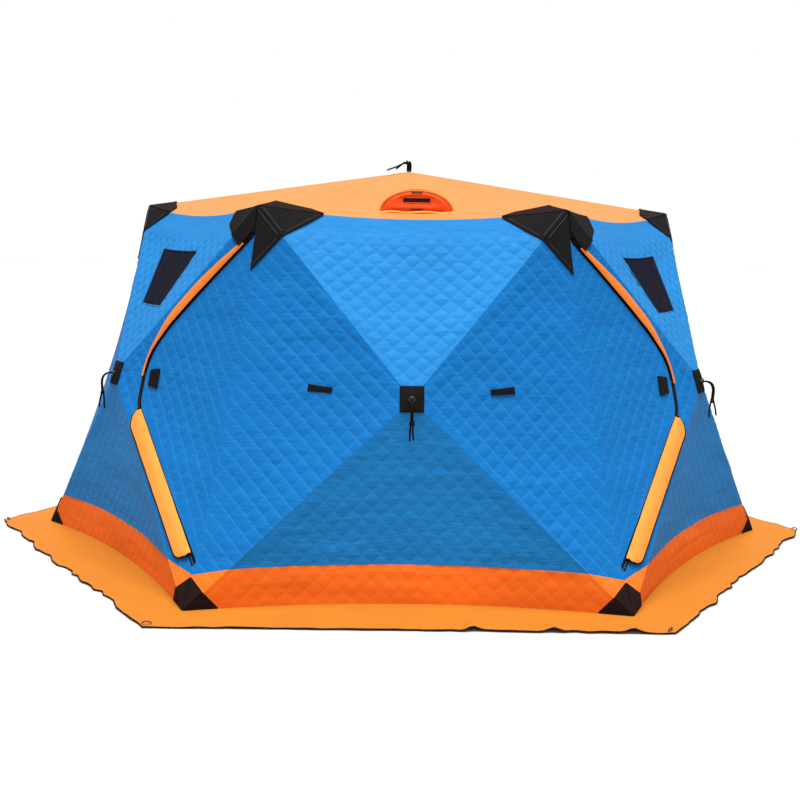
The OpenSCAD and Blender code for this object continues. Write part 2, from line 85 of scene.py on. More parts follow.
WALLS = {"front": 0, "front_left": -60, "front_right": 60, "back_left": -120,
         "back_right": 120, "back": 180}  # each wall's turn about the middle

# --- the camera ---
CAMERA_PLACE = (-0.132, -7.540, 1.746)
CAMERA_HEADING, CAMERA_PITCH, CAMERA_ROLL = -0.0136, -0.1342, 0.0162
LENS = 60.6


def make_camera():
    data = bpy.data.cameras.new("camera")
    data.lens, data.sensor_width = LENS, 36.0
    cam = bpy.data.objects.new("camera", data)
    bpy.context.scene.collection.objects.link(cam)
    look = Vector((-math.sin(CAMERA_HEADING) * math.cos(CAMERA_PITCH),
                   math.cos(CAMERA_HEADING) * math.cos(CAMERA_PITCH),
                   math.sin(CAMERA_PITCH)))
    level = look.to_track_quat("-Z", "Y").to_matrix().to_4x4()
    cam.matrix_world = (Matrix.Translation(CAMERA_PLACE) @ level
                        @ Matrix.Rotation(CAMERA_ROLL, 4, "Z"))
    bpy.context.scene.camera = cam


make_camera()


# --- node materials ---
class Nodes:
    """A material's node tree with short calls."""

    def __init__(self, name):
        self.material = bpy.data.materials.new(name)
        self.material.use_nodes = True
        self.tree = self.material.node_tree
        self.shader = self.tree.nodes["Principled BSDF"]
        self.place = self.tree.nodes.new("ShaderNodeTexCoord").outputs["Object"]

    def add(self, kind, inputs=(), **settings):
        node = self.tree.nodes.new(kind)
        for key, value in settings.items():
            setattr(node, key, value)
        for key, value in dict(inputs).items():
            if isinstance(value, bpy.types.NodeSocket):
                self.tree.links.new(value, node.inputs[key])
            else:
                node.inputs[key].default_value = value
        return node

    def noise(self, scale, detail=3.0, stretch=(1, 1, 1)):
        place = self.add("ShaderNodeMapping", {"Vector": self.place, "Scale": stretch})
        return self.add("ShaderNodeTexNoise", {"Vector": place.outputs[0], "Scale": scale,
                                               "Detail": detail}).outputs["Fac"]

    def ramp(self, value, low, high, out_low=0.0, out_high=1.0):
        return self.add("ShaderNodeMapRange", {"Value": value, "From Min": low,
                        "From Max": high, "To Min": out_low, "To Max": out_high}).outputs[0]

    def math(self, operation, a, b=0.0):
        return self.add("ShaderNodeMath", {0: a, 1: b}, operation=operation).outputs[0]

    def mix(self, factor, a, b, blend="MIX"):
        node = self.add("ShaderNodeMix", data_type="RGBA", blend_type=blend)
        for key, value in ((0, factor), (6, a), (7, b)):
            if isinstance(value, bpy.types.NodeSocket):
                self.tree.links.new(value, node.inputs[key])
            else:
                node.inputs[key].default_value = value
        return node.outputs[2]

    def bump(self, height, strength, distance, below=None):
        inputs = {"Height": height, "Strength": strength, "Distance": distance}
        if below is not None:
            inputs["Normal"] = below
        return self.add("ShaderNodeBump", inputs).outputs["Normal"]

    def join(self, color=None, rough=None, normal=None):
        for key, value in (("Base Color", color), ("Roughness", rough), ("Normal", normal)):
            if isinstance(value, bpy.types.NodeSocket):
                self.tree.links.new(value, self.shader.inputs[key])
            elif value is not None:
                self.shader.inputs[key].default_value = value
        return self.material


def weave(nodes, pitch):
    """Plain weave: two crossed sets of threads, faded a little unevenly."""
    heights = []
    for direction in ("X", "Z"):
        heights.append(nodes.add("ShaderNodeTexWave", {"Vector": nodes.place,
                       "Scale": 1 / (pitch * 20), "Distortion": 0.6, "Detail": 1.0},
                       wave_type="BANDS", bands_direction=direction).outputs["Fac"])
    return nodes.math("MULTIPLY", heights[0], heights[1])


def cloth(name, color, rough=0.62, pitch=0.0016, weave_depth=0.3, shade=0.10, crinkle=0.25,
          crinkle_size=18.0, stretch=(1, 1, 1), stitched=0.0, specular=0.05):
    """Coated woven polyester: weave, soft creases, slight change of tone, and a painted highlight
    along the stitch lines where asked.
    """
    n = Nodes(name)
    tone = n.ramp(n.noise(2.3, 4.0), 0.3, 0.7)
    dark = tuple(c * (1 - shade) for c in color[:3]) + (1.0,)
    light = tuple(min(1.0, c * (1 + shade * 0.6)) for c in color[:3]) + (1.0,)
    base = n.mix(tone, dark, light)
    if stitched:
        # paler lines along the stitching: a painted highlight where the stitch lines catch the light
        seam = n.add("ShaderNodeAttribute", attribute_name="stitch").outputs["Fac"]
        painted_highlight = tuple(min(1.0, 1.3 * c + 0.03) for c in color[:3]) + (1.0,)
        base = n.mix(n.math("MULTIPLY", seam, stitched), base, painted_highlight)
    fine = n.bump(weave(n, pitch), weave_depth, 0.0004)
    soft = n.bump(n.noise(crinkle_size, 3.0, stretch), crinkle, 0.006, fine)
    n.shader.inputs["Specular IOR Level"].default_value = specular
    return n.join(base, n.ramp(n.noise(40.0, 2.0), 0.3, 0.7, rough - 0.05, rough + 0.06), soft)


def plastic(name, color, rough, specular=0.5, metallic=0.0, grain=0.15):
    n = Nodes(name)
    tone = n.ramp(n.noise(30.0), 0.35, 0.65)
    dark = tuple(c * 0.8 for c in color[:3]) + (1.0,)
    n.shader.inputs["Specular IOR Level"].default_value = specular
    n.shader.inputs["Metallic"].default_value = metallic
    wear = n.ramp(n.noise(60.0), 0.3, 0.7, rough * 0.85, rough * 1.15)
    return n.join(n.mix(tone, dark, color), wear, n.bump(n.noise(400.0, 2.0), grain, 0.0004))


QUILTED_LOOK = dict(rough=0.6, crinkle=0.5, crinkle_size=14.0, stretch=(1, 1, 4.5),
                    specular=0.06, shade=0.05)
BLUE = cloth("quilted_blue", (0.006, 0.107, 0.28, 1), stitched=0.38, **QUILTED_LOOK)
# the same cloth darkened, as painted shade, for the facets beside the corner seams and for the doors
BLUE_PAINTED_SHADE = cloth("quilted_blue_painted_shade", (0.0015, 0.081, 0.24, 1), stitched=0.3,
                    **QUILTED_LOOK)
LINING = cloth("dark_lining", (0.01, 0.011, 0.014, 1), rough=0.7, specular=0.1)
ORANGE = cloth("band_orange", (0.56, 0.098, 0.009, 1), stitched=0.4, rough=0.6)
ROOF_ORANGE = cloth("roof_orange", (0.27, 0.122, 0.036, 1), shade=0.03, crinkle=0.12)
SKIRT_ORANGE = cloth("skirt_orange", (0.285, 0.094, 0.010, 1), shade=0.03, specular=0.04)
FLAP_ORANGE = cloth("flap_orange", (0.47, 0.165, 0.028, 1), shade=0.04)
UPPER_FLAP_ORANGE = cloth("upper_flap_orange", (0.45, 0.115, 0.018, 1), shade=0.05)
RED = cloth("vent_red", (0.5, 0.045, 0.005, 1), shade=0.08, specular=0.1)
TRIM_BLUE = cloth("trim_blue", (0.012, 0.08, 0.22, 1), shade=0.05, specular=0.06)
THREAD = cloth("seam_thread", (0.03, 0.028, 0.027, 1), rough=0.7, pitch=0.001, specular=0.35)
ANCHOR_RED = cloth("anchor_red", (0.07, 0.006, 0.005, 1), rough=0.7, pitch=0.002,
                   specular=0.35)
BLACK_LOOK = dict(pitch=0.003, weave_depth=0.5, shade=0.2, specular=0.03, rough=0.8)
OXFORD = cloth("black_oxford", (0.0062, 0.0056, 0.006, 1), **BLACK_LOOK)
BROWN = cloth("brown_oxford", (0.009, 0.0045, 0.0042, 1), **BLACK_LOOK)
WEBBING = cloth("webbing", (0.0055, 0.0045, 0.0042, 1), **BLACK_LOOK)
BINDING = cloth("edge_binding", (0.008, 0.0035, 0.003, 1), **BLACK_LOOK)
CORD = cloth("braided_cord", (0.0045, 0.004, 0.0045, 1), **BLACK_LOOK)
ZIP_TEETH = plastic("zip_teeth", (0.008, 0.008, 0.009, 1), 0.45, specular=0.3)
WINDOW = plastic("window_sheet", (0.0085, 0.0085, 0.0145, 1), 0.55, specular=0.0, grain=0.05)
HUB_PLASTIC = plastic("hub_plastic", (0.03, 0.03, 0.032, 1), 0.45)
POLE = plastic("pole_fibreglass", (0.06, 0.062, 0.068, 1), 0.3)
BOLT = plastic("bolt_metal", (0.07, 0.07, 0.075, 1), 0.35, metallic=1.0)
SLIDER = plastic("slider_metal", (0.25, 0.05, 0.04, 1), 0.35, metallic=0.6)


# --- surfaces ---
C30 = math.cos(math.radians(30))
UP = np.array([0.0, 0.0, 1.0])


def unit(v):
    return v / np.linalg.norm(v)


def corner(side, top):
    """A wall's ground or top corner, on the side -1 or 1."""
    r, z = (EAVE_R, EAVE_H) if top else (GROUND_R, 0.0)
    return np.array([side * r / 2, -r * C30, z])


def turn(points, degrees):
    c, s = math.cos(math.radians(degrees)), math.sin(math.radians(degrees))
    return points @ np.array([[c, s, 0], [-s, c, 0], [0, 0, 1]])


def mirror(points):
    return points * np.array([-1.0, 1.0, 1.0])


class Facet:
    """A fan of straight lines from a tip to one bowed edge, and its flat pattern."""

    def __init__(self, tip, start, end, bow, outward):
        self.tip, self.start, self.end, self.bow = tip, start, end, np.array(bow)
        n = unit(np.cross(start - tip, end - tip))
        self.normal = n if n @ outward > 0 else -n
        self.across = unit(np.array([1.0, 0, 0]) - self.normal[0] * self.normal)
        self.up = np.cross(self.normal, self.across)
        self.flat_start, self.flat_end = self._flat(start - tip), self._flat(end - tip)

    def _flat(self, v):
        return np.stack([v @ self.across, v @ self.up], -1)

    def edge(self, t):
        t = np.asarray(t, float)[..., None]
        return self.start + (self.end - self.start) * t + 4 * t * (1 - t) * self.bow

    def point(self, t, r):
        """t runs along the edge and r from the tip to the edge, both from 0 to 1."""
        return self.tip + np.asarray(r, float)[..., None] * (self.edge(t) - self.tip)

    def flat(self, t, r):
        t, r = np.asarray(t, float)[..., None], np.asarray(r, float)[..., None]
        return r * ((1 - t) * self.flat_start + t * self.flat_end)

    def shares(self, xy):
        """The flat pattern's points as t and r."""
        m = np.linalg.inv(np.stack([self.flat_start, self.flat_end], 1))
        a, b = (xy @ m.T).T
        r = a + b
        return b / np.maximum(r, 1e-9), r


HUB = np.array([0.0, -HUB_OUT, HUB_H])
APEX = np.array([0.0, 0.0, APEX_H])
FRONT = np.array([0.0, -1.0, 0.0])
# the front wall's four facets and the roof over it; turned, they make the other five
LOW = Facet(HUB, corner(-1, 0), corner(1, 0), (0, HEM_IN, HEM_UP), FRONT)
TOP = Facet(HUB, corner(-1, 1), corner(1, 1), (0, EAVE_IN, -EAVE_SAG), FRONT)
RIGHT = Facet(HUB, corner(1, 0), corner(1, 1), (-0.5 * SEAM_IN, C30 * SEAM_IN, 0), FRONT)
LEFT = Facet(HUB, corner(-1, 0), corner(-1, 1), (0.5 * SEAM_IN, C30 * SEAM_IN, 0), FRONT)
GORE = Facet(APEX, corner(-1, 1), corner(1, 1), (0, EAVE_IN, -EAVE_SAG), UP)


def smooth(x, low, high):
    x = np.clip((x - low) / (high - low), 0, 1)
    return x * x * (3 - 2 * x)


def outward(points, facet, r):
    """The way a thickness grows: out of the wall, mitred at its edges."""
    rim = smooth(r, 0.985, 1.0)[:, None]
    wall = points / np.maximum(-points[:, 1:2], 1e-6) * np.array([1.0, 1.0, 0.0])
    if facet is GORE:
        return UP + rim * wall
    if facet is TOP:
        return wall + rim * UP
    return wall


def noise(x, y, seed):
    """Smooth noise from -1 to 1 with features about one unit wide."""
    xi, yi = np.floor(x).astype(np.int64), np.floor(y).astype(np.int64)
    fx, fy = x - xi, y - yi
    fx, fy = fx * fx * (3 - 2 * fx), fy * fy * (3 - 2 * fy)

    def value(i, j):
        h = (i * 374761393 + j * 668265263 + seed * 974634777) & 0x7FFFFFFF
        h = ((h ^ (h >> 13)) * 1274126177) & 0x7FFFFFFF
        return ((h ^ (h >> 16)) & 0xFFFF) / 32767.5 - 1

    a = value(xi, yi) * (1 - fx) + value(xi + 1, yi) * fx
    b = value(xi, yi + 1) * (1 - fx) + value(xi + 1, yi + 1) * fx
    return a * (1 - fy) + b * fy


# --- flat patterns ---
CELL_STEPS = (0.0, 0.1, 0.35, 0.65, 0.9)


def inside(xy, polygon, margin):
    """Which points are inside a convex counter-clockwise polygon grown by margin."""
    ok = np.ones(len(xy), bool)
    for a, b in zip(polygon, np.roll(polygon, -1, 0)):
        d = unit(b - a)
        ok &= (xy - a) @ np.array([d[1], -d[0]]) <= margin
    return ok


def counter_clockwise(polygon):
    polygon = np.asarray(polygon, float)
    x, y = polygon.T
    area = (x * np.roll(y, -1) - y * np.roll(x, -1)).sum()
    return polygon if area > 0 else polygon[::-1]


def quilt_grid(polygon):
    """Squares that stand on a corner, each split so that stitch lines are edges."""
    u = (polygon[:, 0] + polygon[:, 1]) / math.sqrt(2) / QUILT
    v = (polygon[:, 1] - polygon[:, 0]) / math.sqrt(2) / QUILT
    lines = [np.array([k + s for k in range(math.floor(a.min()), math.ceil(a.max()))
                       for s in CELL_STEPS] + [math.ceil(a.max())]) * QUILT for a in (u, v)]
    gu, gv = np.meshgrid(*lines, indexing="ij")
    xy = np.stack([(gu - gv) / math.sqrt(2), (gu + gv) / math.sqrt(2)], -1).reshape(-1, 2)
    nv = len(lines[1])
    i, j = np.meshgrid(np.arange(len(lines[0]) - 1), np.arange(nv - 1), indexing="ij")
    low = (i * nv + j).ravel()
    return xy, np.stack([low + nv, low + nv + 1, low + 1, low], 1)


def plain_grid(polygon, step):
    low, high = polygon.min(0) - step / 2, polygon.max(0) + step
    xs, ys = np.arange(low[0], high[0], step), np.arange(low[1], high[1], step)
    gx, gy = np.meshgrid(xs, ys, indexing="ij")
    i, j = np.meshgrid(np.arange(len(xs) - 1), np.arange(len(ys) - 1), indexing="ij")
    low = (i * len(ys) + j).ravel()
    faces = np.stack([low, low + len(ys), low + len(ys) + 1, low + 1], 1)
    return np.stack([gx, gy], -1).reshape(-1, 2), faces


def cut_pattern(polygon, holes=(), step=None):
    """A flat sheet inside a convex polygon, less convex holes: points and faces."""
    polygon = counter_clockwise(polygon)
    xy, faces = quilt_grid(polygon) if step is None else plain_grid(polygon, step)
    faces = faces[inside(xy[faces].mean(1), polygon, QUILT)]
    used, faces = np.unique(faces, return_inverse=True)
    bm = bmesh.new()
    verts = [bm.verts.new((x, y, 0)) for x, y in xy[used]]
    for f in faces.reshape(-1, 4):
        bm.faces.new([verts[i] for i in f])
    for a, b in zip(polygon, np.roll(polygon, -1, 0)):
        bmesh.ops.bisect_plane(bm, geom=bm.verts[:] + bm.edges[:] + bm.faces[:], dist=1e-6,
                               plane_co=(*a, 0), plane_no=(b[1] - a[1], a[0] - b[0], 0),
                               clear_outer=True)
    for hole in holes:
        cut_hole(bm, counter_clockwise(hole))
    bmesh.ops.remove_doubles(bm, verts=bm.verts[:], dist=2e-4)
    bm.verts.index_update()
    points = np.array([v.co[:2] for v in bm.verts])
    loops = [[v.index for v in f.verts] for f in bm.faces if f.calc_area() > 1e-9]
    bm.free()
    return points, loops


def cut_hole(bm, hole):
    mark = bm.faces.layers.int.new("mark")
    low, high = hole.min(0) - 0.01, hole.max(0) + 0.01
    for f in bm.faces:
        c = np.array(f.calc_center_median()[:2])
        f[mark] = int((c > low - QUILT).all() and (c < high + QUILT).all())
    for a, b in zip(hole, np.roll(hole, -1, 0)):
        faces = [f for f in bm.faces if f[mark]]
        edges = {e for f in faces for e in f.edges}
        verts = {v for f in faces for v in f.verts}
        n = Vector((b[1] - a[1], a[0] - b[0], 0))
        bmesh.ops.bisect_plane(bm, geom=list(verts) + list(edges) + faces, dist=1e-6,
                               plane_co=(*a, 0), plane_no=n)
        place = Vector((*a, 0))
        for f in bm.faces:
            if f[mark] and (f.calc_center_median() - place).dot(n) > 0:
                f[mark] = 0
    bmesh.ops.delete(bm, geom=[f for f in bm.faces if f[mark]], context="FACES")
    bm.faces.layers.int.remove(mark)


# --- meshes ---
def shell(outer, inner, faces):
    """An open sheet's two sides closed into one solid: points, faces, and which face
    belongs to the inner side."""
    n = len(outer)
    edges = {(f[i], f[(i + 1) % len(f)]) for f in faces for i in range(len(f))}
    rim = [(a, b) for a, b in edges if (b, a) not in edges]
    closed = (list(faces) + [[i + n for i in reversed(f)] for f in faces]
              + [[b, a, a + n, b + n] for a, b in sorted(rim)])
    back = np.zeros(len(closed), int)
    back[len(faces):2 * len(faces)] = 1
    return np.concatenate([outer, inner]), closed, back


class Build:
    """Collects solids that become one mesh."""

    def __init__(self):
        self.points, self.faces, self.slots, self.stitch, self.count = [], [], [], [], 0

    def add(self, points, faces, slots=0, stitch=None):
        faces = [[i + self.count for i in f] for f in faces]
        self.faces += faces
        self.slots.append(np.broadcast_to(slots, (len(faces),)))
        self.points.append(points)
        self.stitch.append(np.zeros(len(points)) if stitch is None else stitch)
        self.count += len(points)
        return self

    def piece(self, name, materials, body="hut", nodes=(), turned=0.0, mirrored=False,
              crease=50.0):
        points, faces = turn(np.concatenate(self.points), turned), self.faces
        if mirrored:
            points, faces = mirror(points), [f[::-1] for f in faces]
        mesh = bpy.data.meshes.new(name)
        mesh.from_pydata(points.tolist(), [], faces)
        mesh.polygons.foreach_set("material_index", np.concatenate(self.slots).astype(np.int32))
        # the painted highlight of the stitch lines, read by the cloth's material
        stitch = mesh.attributes.new("stitch", "FLOAT", "POINT")
        stitch.data.foreach_set("value", np.concatenate(self.stitch).astype(np.float32))
        mesh.shade_smooth()
        mesh.set_sharp_from_angle(angle=math.radians(crease))
        for material in materials:
            mesh.materials.append(material)
        obj = bpy.data.objects.new(name, mesh)
        bpy.context.scene.collection.objects.link(obj)
        if body:
            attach(obj, body)
        if nodes:
            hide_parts(*([nodes] if isinstance(nodes, str) else nodes))
        return obj


def frames_along(path, closed):
    """Unit side and top vectors along a path, without twist."""
    ahead = directions(path, closed)
    ahead /= np.linalg.norm(ahead, axis=1, keepdims=True)
    level = UP if abs(ahead[0, 2]) < 0.9 else np.array([1.0, 0, 0])
    sides = [unit(np.cross(ahead[0], level))]
    for d in ahead[1:]:
        sides.append(unit(sides[-1] - (sides[-1] @ d) * d))
    sides = np.array(sides)
    return sides, np.cross(sides, ahead)


def tube(path, radius, sides=8, closed=False, flat=1.0, normals=None):
    """A round or flattened tube: points and faces. normals, one for all of the path or
    one for each point, point out of its flat side."""
    path = np.asarray(path, float)
    if normals is None:
        side, top = frames_along(path, closed)
    else:
        ahead = directions(path, closed)
        side = np.cross(ahead, normals)
        side /= np.linalg.norm(side, axis=1, keepdims=True)
        top = np.cross(side, ahead)
        top /= np.linalg.norm(top, axis=1, keepdims=True)
    a = np.arange(sides) * 2 * math.pi / sides
    ring = (path[:, None] + radius * (np.cos(a)[None, :, None] * side[:, None]
            + flat * np.sin(a)[None, :, None] * top[:, None]))
    n = len(path)
    faces = ring_faces(n, sides)
    if closed:
        last = (n - 1) * sides
        faces += [[last + k, last + (k + 1) % sides, (k + 1) % sides, k] for k in range(sides)]
    else:
        faces.append(list(range(sides))[::-1])
        faces.append([(n - 1) * sides + k for k in range(sides)])
    points = ring.reshape(-1, 3)
    a, b, c, d = (points[i] for i in faces[0])
    out = (a + b + c + d) / 4 - (path[0] + path[1 % n]) / 2
    if np.cross(b - a, d - a) @ out < 0:
        faces = [f[::-1] for f in faces]
    return points, faces


def grid_faces(rows, cols):
    i, j = np.meshgrid(np.arange(rows - 1), np.arange(cols - 1), indexing="ij")
    low = (i * cols + j).ravel()
    return np.stack([low, low + 1, low + cols + 1, low + cols], 1).tolist()


def facing(points, faces, direction):
    """The faces, turned over if they look away from direction."""
    p = points[faces[len(faces) // 2]]
    if np.cross(p[1] - p[0], p[2] - p[0]) @ direction > 0:
        return faces
    return [f[::-1] for f in faces]


def add_tube(build, path, radius, slot=0, turned=0.0, **shape):
    points, faces = tube(path, radius, **shape)
    build.add(turn(points, turned), faces, slot)


def add_solid(build, outer, inner, faces, slot=0, turned=0.0):
    points, closed, _ = shell(outer, inner, faces)
    return build.add(turn(points, turned), closed, slot)


def ring_faces(rows, around):
    """Faces between rows of points that each run round a closed ring."""
    return [[i * around + j, i * around + (j + 1) % around,
             (i + 1) * around + (j + 1) % around, (i + 1) * around + j]
            for i in range(rows - 1) for j in range(around)]


def densify(points, step=0.015):
    """A line with enough points that none is much further than step from the next."""
    parts = []
    for a, b in zip(points[:-1], points[1:]):
        n = max(1, round(float(np.linalg.norm(b - a)) / step))
        parts.append(a + (b - a) * (np.arange(n) / n)[:, None])
    return np.concatenate(parts + [points[-1:]])


def rounded(line, passes=2):
    """An open line with its corners cut off, passes times."""
    for _ in range(passes):
        a, b = line[:-1], line[1:]
        mid = np.stack([a * 0.75 + b * 0.25, a * 0.25 + b * 0.75], 1)
        mid = mid.reshape(-1, line.shape[1])
        line = np.concatenate([line[:1], mid[1:-1], line[-1:]])
    return line


def line_length(line):
    return float(np.linalg.norm(np.diff(line, axis=0), axis=1).sum())


def directions(path, closed):
    """The way ahead at each point of a path, not of unit length."""
    ahead = np.roll(path, -1, 0) - np.roll(path, 1, 0)
    if not closed:
        ahead[0], ahead[-1] = path[1] - path[0], path[-1] - path[-2]
    return ahead


# --- quilted panels ---
# how much painted highlight the falling and the rising stitch lines of a facet get, where they would
# catch the light, and how much of the quilting's height each facet has
STITCH_HIGHLIGHTS = {id(RIGHT): (1.0, 0.3), id(LEFT): (1.0, 0.3), id(LOW): (0.3, 0.3)}
RELIEF = {id(RIGHT): 0.9, id(LEFT): 0.9, id(LOW): 0.55, id(TOP): 1.2}


def line_distance(xy, line):
    """How far each flat point is from a flat line."""
    nearest = np.full(len(xy), 9.0)
    for a, b in zip(line[:-1], line[1:]):
        along = np.clip((xy - a) @ (b - a) / ((b - a) @ (b - a)), 0, 1)
        nearest = np.minimum(nearest, np.linalg.norm(xy - a - along[:, None] * (b - a), axis=1))
    return nearest


def quilt_height(xy, seed, puff, pucker):
    """Height of the padding over the backing, and how near a stitch line a point is."""
    u = (xy[:, 0] + xy[:, 1]) / math.sqrt(2) / QUILT
    v = (xy[:, 1] - xy[:, 0]) / math.sqrt(2) / QUILT
    p, q = u - np.floor(u + 1e-7), v - np.floor(v + 1e-7)
    p, q = np.clip(p, 0, 1), np.clip(q, 0, 1)
    pillow = np.sqrt(np.clip(16 * p * (1 - p) * q * (1 - q), 0, 1))
    across, above = np.abs(p - q), np.abs(p + q - 1)
    ridged = (1 - above / np.maximum(1 - across, 1e-6)) * np.maximum(1 - across, 0) ** 0.6
    mood = 0.75 + 0.45 * noise(np.floor(u + 1e-7) * 0.73, np.floor(v + 1e-7) * 0.73, seed)
    lines = [np.exp(-(np.minimum(w, 1 - w) * QUILT / 0.003) ** 2) for w in (p, q)]
    return puff * pillow + pucker * mood * ridged, lines


def panel_shape(facet, xy, seed, puff, pucker, doorway):
    """Heights over the facet: quilting, pinned down along the panel's seams, and the long soft folds
    of stretched cloth; and how much painted highlight each point of a stitch line gets."""
    t, r = facet.shares(xy)
    height, (falling, rising) = quilt_height(xy, seed, puff, pucker)
    # painted highlight on the stitch lines, strongest on the lines that catch the light
    falls, rises = STITCH_HIGHLIGHTS.get(id(facet), (0.12, 0.12))
    stitch = np.maximum(falls * falling, rises * rising)
    width = np.linalg.norm(facet.flat_end - facet.flat_start)
    long = min(np.linalg.norm(facet.flat_start), np.linalg.norm(facet.flat_end)) * 0.75
    poles = np.minimum(t, 1 - t) * r * width
    edge = (1 - r) * long
    fade = smooth(poles, 0.0, 0.03) * smooth(edge, 0.0, 0.03) * RELIEF[id(facet)]
    by_door = 1.0 if doorway is None else smooth(line_distance(xy, doorway), 0.012, 0.075)
    fade *= by_door
    if facet is TOP:
        fade *= 0.12 + 0.88 * smooth(edge, 0.06, 0.17)
        stitch = stitch * (0.2 + 0.8 * smooth(edge, 0.06, 0.17))
    if facet in (LEFT, RIGHT):
        fade *= 0.35 + 0.65 * smooth(edge, 0.03, 0.3)
    folds = 0.0035 * noise(xy[:, 0] / 0.34, xy[:, 1] / 0.12, seed + 7)
    folds += 0.0016 * noise(xy[:, 0] / 0.16, xy[:, 1] / 0.035, seed + 9) * smooth(edge, 0.02, 0.1)
    folds *= smooth(poles, 0.0, 0.05) * smooth(edge, 0.0, 0.05) * by_door
    return height * fade + folds, stitch


def add_panel(build, facet, pattern, seed, puff=0.0013, pucker=0.0042, edge=None, slot=0,
              skin=SKIN):
    xy, faces = pattern
    height, stitch = panel_shape(facet, xy, seed, puff, pucker, edge)
    t, r = facet.shares(xy)
    base = facet.point(t, r)
    out = outward(base, facet, r)
    outer = base + height[:, None] * facet.normal
    inner = base - skin * out - 0.35 * np.abs(height)[:, None] * facet.normal
    faces = facing(outer, faces, facet.normal)
    points, closed, back = shell(outer, inner, faces)
    build.add(points, closed, np.where(back, back, slot), np.concatenate([stitch, stitch]))


# Outline of a door: its upper and lower edge on the way from the nose by the hub out
# to the corner seam, as shares of the facet.
DOOR_R = (0.276, 0.283, 0.295, 0.315, 0.345, 0.39, 0.45, 0.6, 0.8, 1.0)
DOOR_HIGH = ((0.276, 0.55), (0.283, 0.63), (0.295, 0.70), (0.315, 0.76), (0.345, 0.805),
             (0.39, 0.845), (0.45, 0.875), (0.6, 0.905), (0.8, 0.922), (1.0, 0.928))
DOOR_LOW = ((0.276, 0.36), (0.283, 0.30), (0.295, 0.265), (0.315, 0.245), (0.345, 0.227),
            (0.39, 0.208), (0.45, 0.186), (0.6, 0.151), (0.8, 0.125), (1.0, 0.11))


def lookup(table, r):
    return np.interp(r, *np.array(table).T)


def flat_polygon(facet, shares):
    shares = np.array(shares, float)
    return facet.flat(shares[:, 0], shares[:, 1])


def offset_line(line, d):
    """A flat line moved to its left by d, with mitred corners."""
    ahead = np.diff(line, axis=0)
    ahead /= np.linalg.norm(ahead, axis=1, keepdims=True)
    left = np.stack([-ahead[:, 1], ahead[:, 0]], 1)
    m = np.concatenate([left[:1], left]) + np.concatenate([left, left[-1:]])
    return line + 2 * d * m / (m * m).sum(1, keepdims=True)


def door_line(grown, r_end):
    """The doorway from the seam's foot round the nose to its top, as a flat line, each
    side moved out by grown and reaching the share r_end of the way to the seam."""
    low = [(lookup(DOOR_LOW, r), r) for r in DOOR_R[::-1]]
    high = [(lookup(DOOR_HIGH, r), r) for r in DOOR_R]
    line = offset_line(flat_polygon(RIGHT, low + high), grown)
    for end, near in ((0, 1), (-1, -2)):
        r = RIGHT.shares(line[[end, near]])[1]
        line[end] = line[near] + (line[end] - line[near]) * (r_end - r[1]) / (r[0] - r[1])
    return line


window_hole = flat_polygon(TOP, [(0.5 - WIN_HALF, WIN_IN), (0.5 + WIN_HALF, WIN_IN),
                                 (0.5 + WIN_HALF, WIN_OUT), (0.5 - WIN_HALF, WIN_OUT)])
TIP = (0.5, 0.0)
SIDE_SHARES = [TIP, (0, BAND_R), (BAND_T, 1), (1, 1)]
door_hole = door_line(DOOR_GAP + TAPE_W, 1.03)
PATTERNS = {
    "low": cut_pattern(flat_polygon(LOW, [TIP, (0, BAND_R), (1, BAND_R)])),
    "top": cut_pattern(flat_polygon(TOP, [TIP, (0, 1), (1, 1)])),
    "top_window": cut_pattern(flat_polygon(TOP, [TIP, (0, 1), (1, 1)]), [window_hole]),
    "right": cut_pattern(flat_polygon(RIGHT, SIDE_SHARES)),
    "left": cut_pattern(flat_polygon(LEFT, SIDE_SHARES)),
    "right_doorway": cut_pattern(flat_polygon(RIGHT, SIDE_SHARES), [door_hole]),
    "door": cut_pattern(door_line(0.0, 1.0)),
    "band_low": cut_pattern(flat_polygon(LOW, [(0, BAND_R), (0, 1), (1, 1), (1, BAND_R)])),
    "band_right": cut_pattern(flat_polygon(RIGHT, [(0, BAND_R), (0, 1), (BAND_T, 1)])),
    "band_left": cut_pattern(flat_polygon(LEFT, [(0, BAND_R), (0, 1), (BAND_T, 1)])),
}


def line_points(facet, line, step=0.012, lift=0.0):
    """A flat line as closely spaced points on the facet, lifted off its surface."""
    t, r = facet.shares(densify(line, step))
    return facet.point(t, r) + lift * facet.normal


def add_patch(build, facet, shares, low, high, slot=0, turned=0.0, puff=0.0, wave=0.0,
              seed=3, lift=0.0):
    """A thin piece of cloth over a convex part of a facet, from low to high off it."""
    polygon = counter_clockwise(flat_polygon(facet, shares))
    xy, faces = cut_pattern(polygon, step=0.012)
    t, r = facet.shares(xy)
    base = facet.point(t, r) + lift * UP
    to_rim = np.full(len(xy), 1.0)
    for a, b in zip(polygon, np.roll(polygon, -1, 0)):
        d = unit(b - a)
        to_rim = np.minimum(to_rim, (xy - a) @ np.array([-d[1], d[0]]))
    rise = wave * (1 + noise(xy[:, 0] / 0.07, xy[:, 1] / 0.07, seed)) + puff * smooth(to_rim, 0, 0.014)
    outer = base + (high + rise)[:, None] * facet.normal
    inner = base + low * facet.normal
    add_solid(build, outer, inner, facing(outer, faces, facet.normal), slot, turned)


def add_strip(build, facet, line, width, thick, lift):
    """A flat strap along a flat line."""
    path = line_points(facet, line, lift=lift)
    add_tube(build, path, width / 2, sides=10, flat=thick / width, normals=facet.normal)


# --- walls ---
def declare_sheet(obj, flat):
    """Works out the cloth's own flat area, half of its closed mesh's, held within the flat size given;
    the result is not kept.
    """
    area = sum(p.area for p in obj.data.polygons) / 2
    area = min(max(area, 0.31 * flat[0] * flat[1]), flat[0] * flat[1])


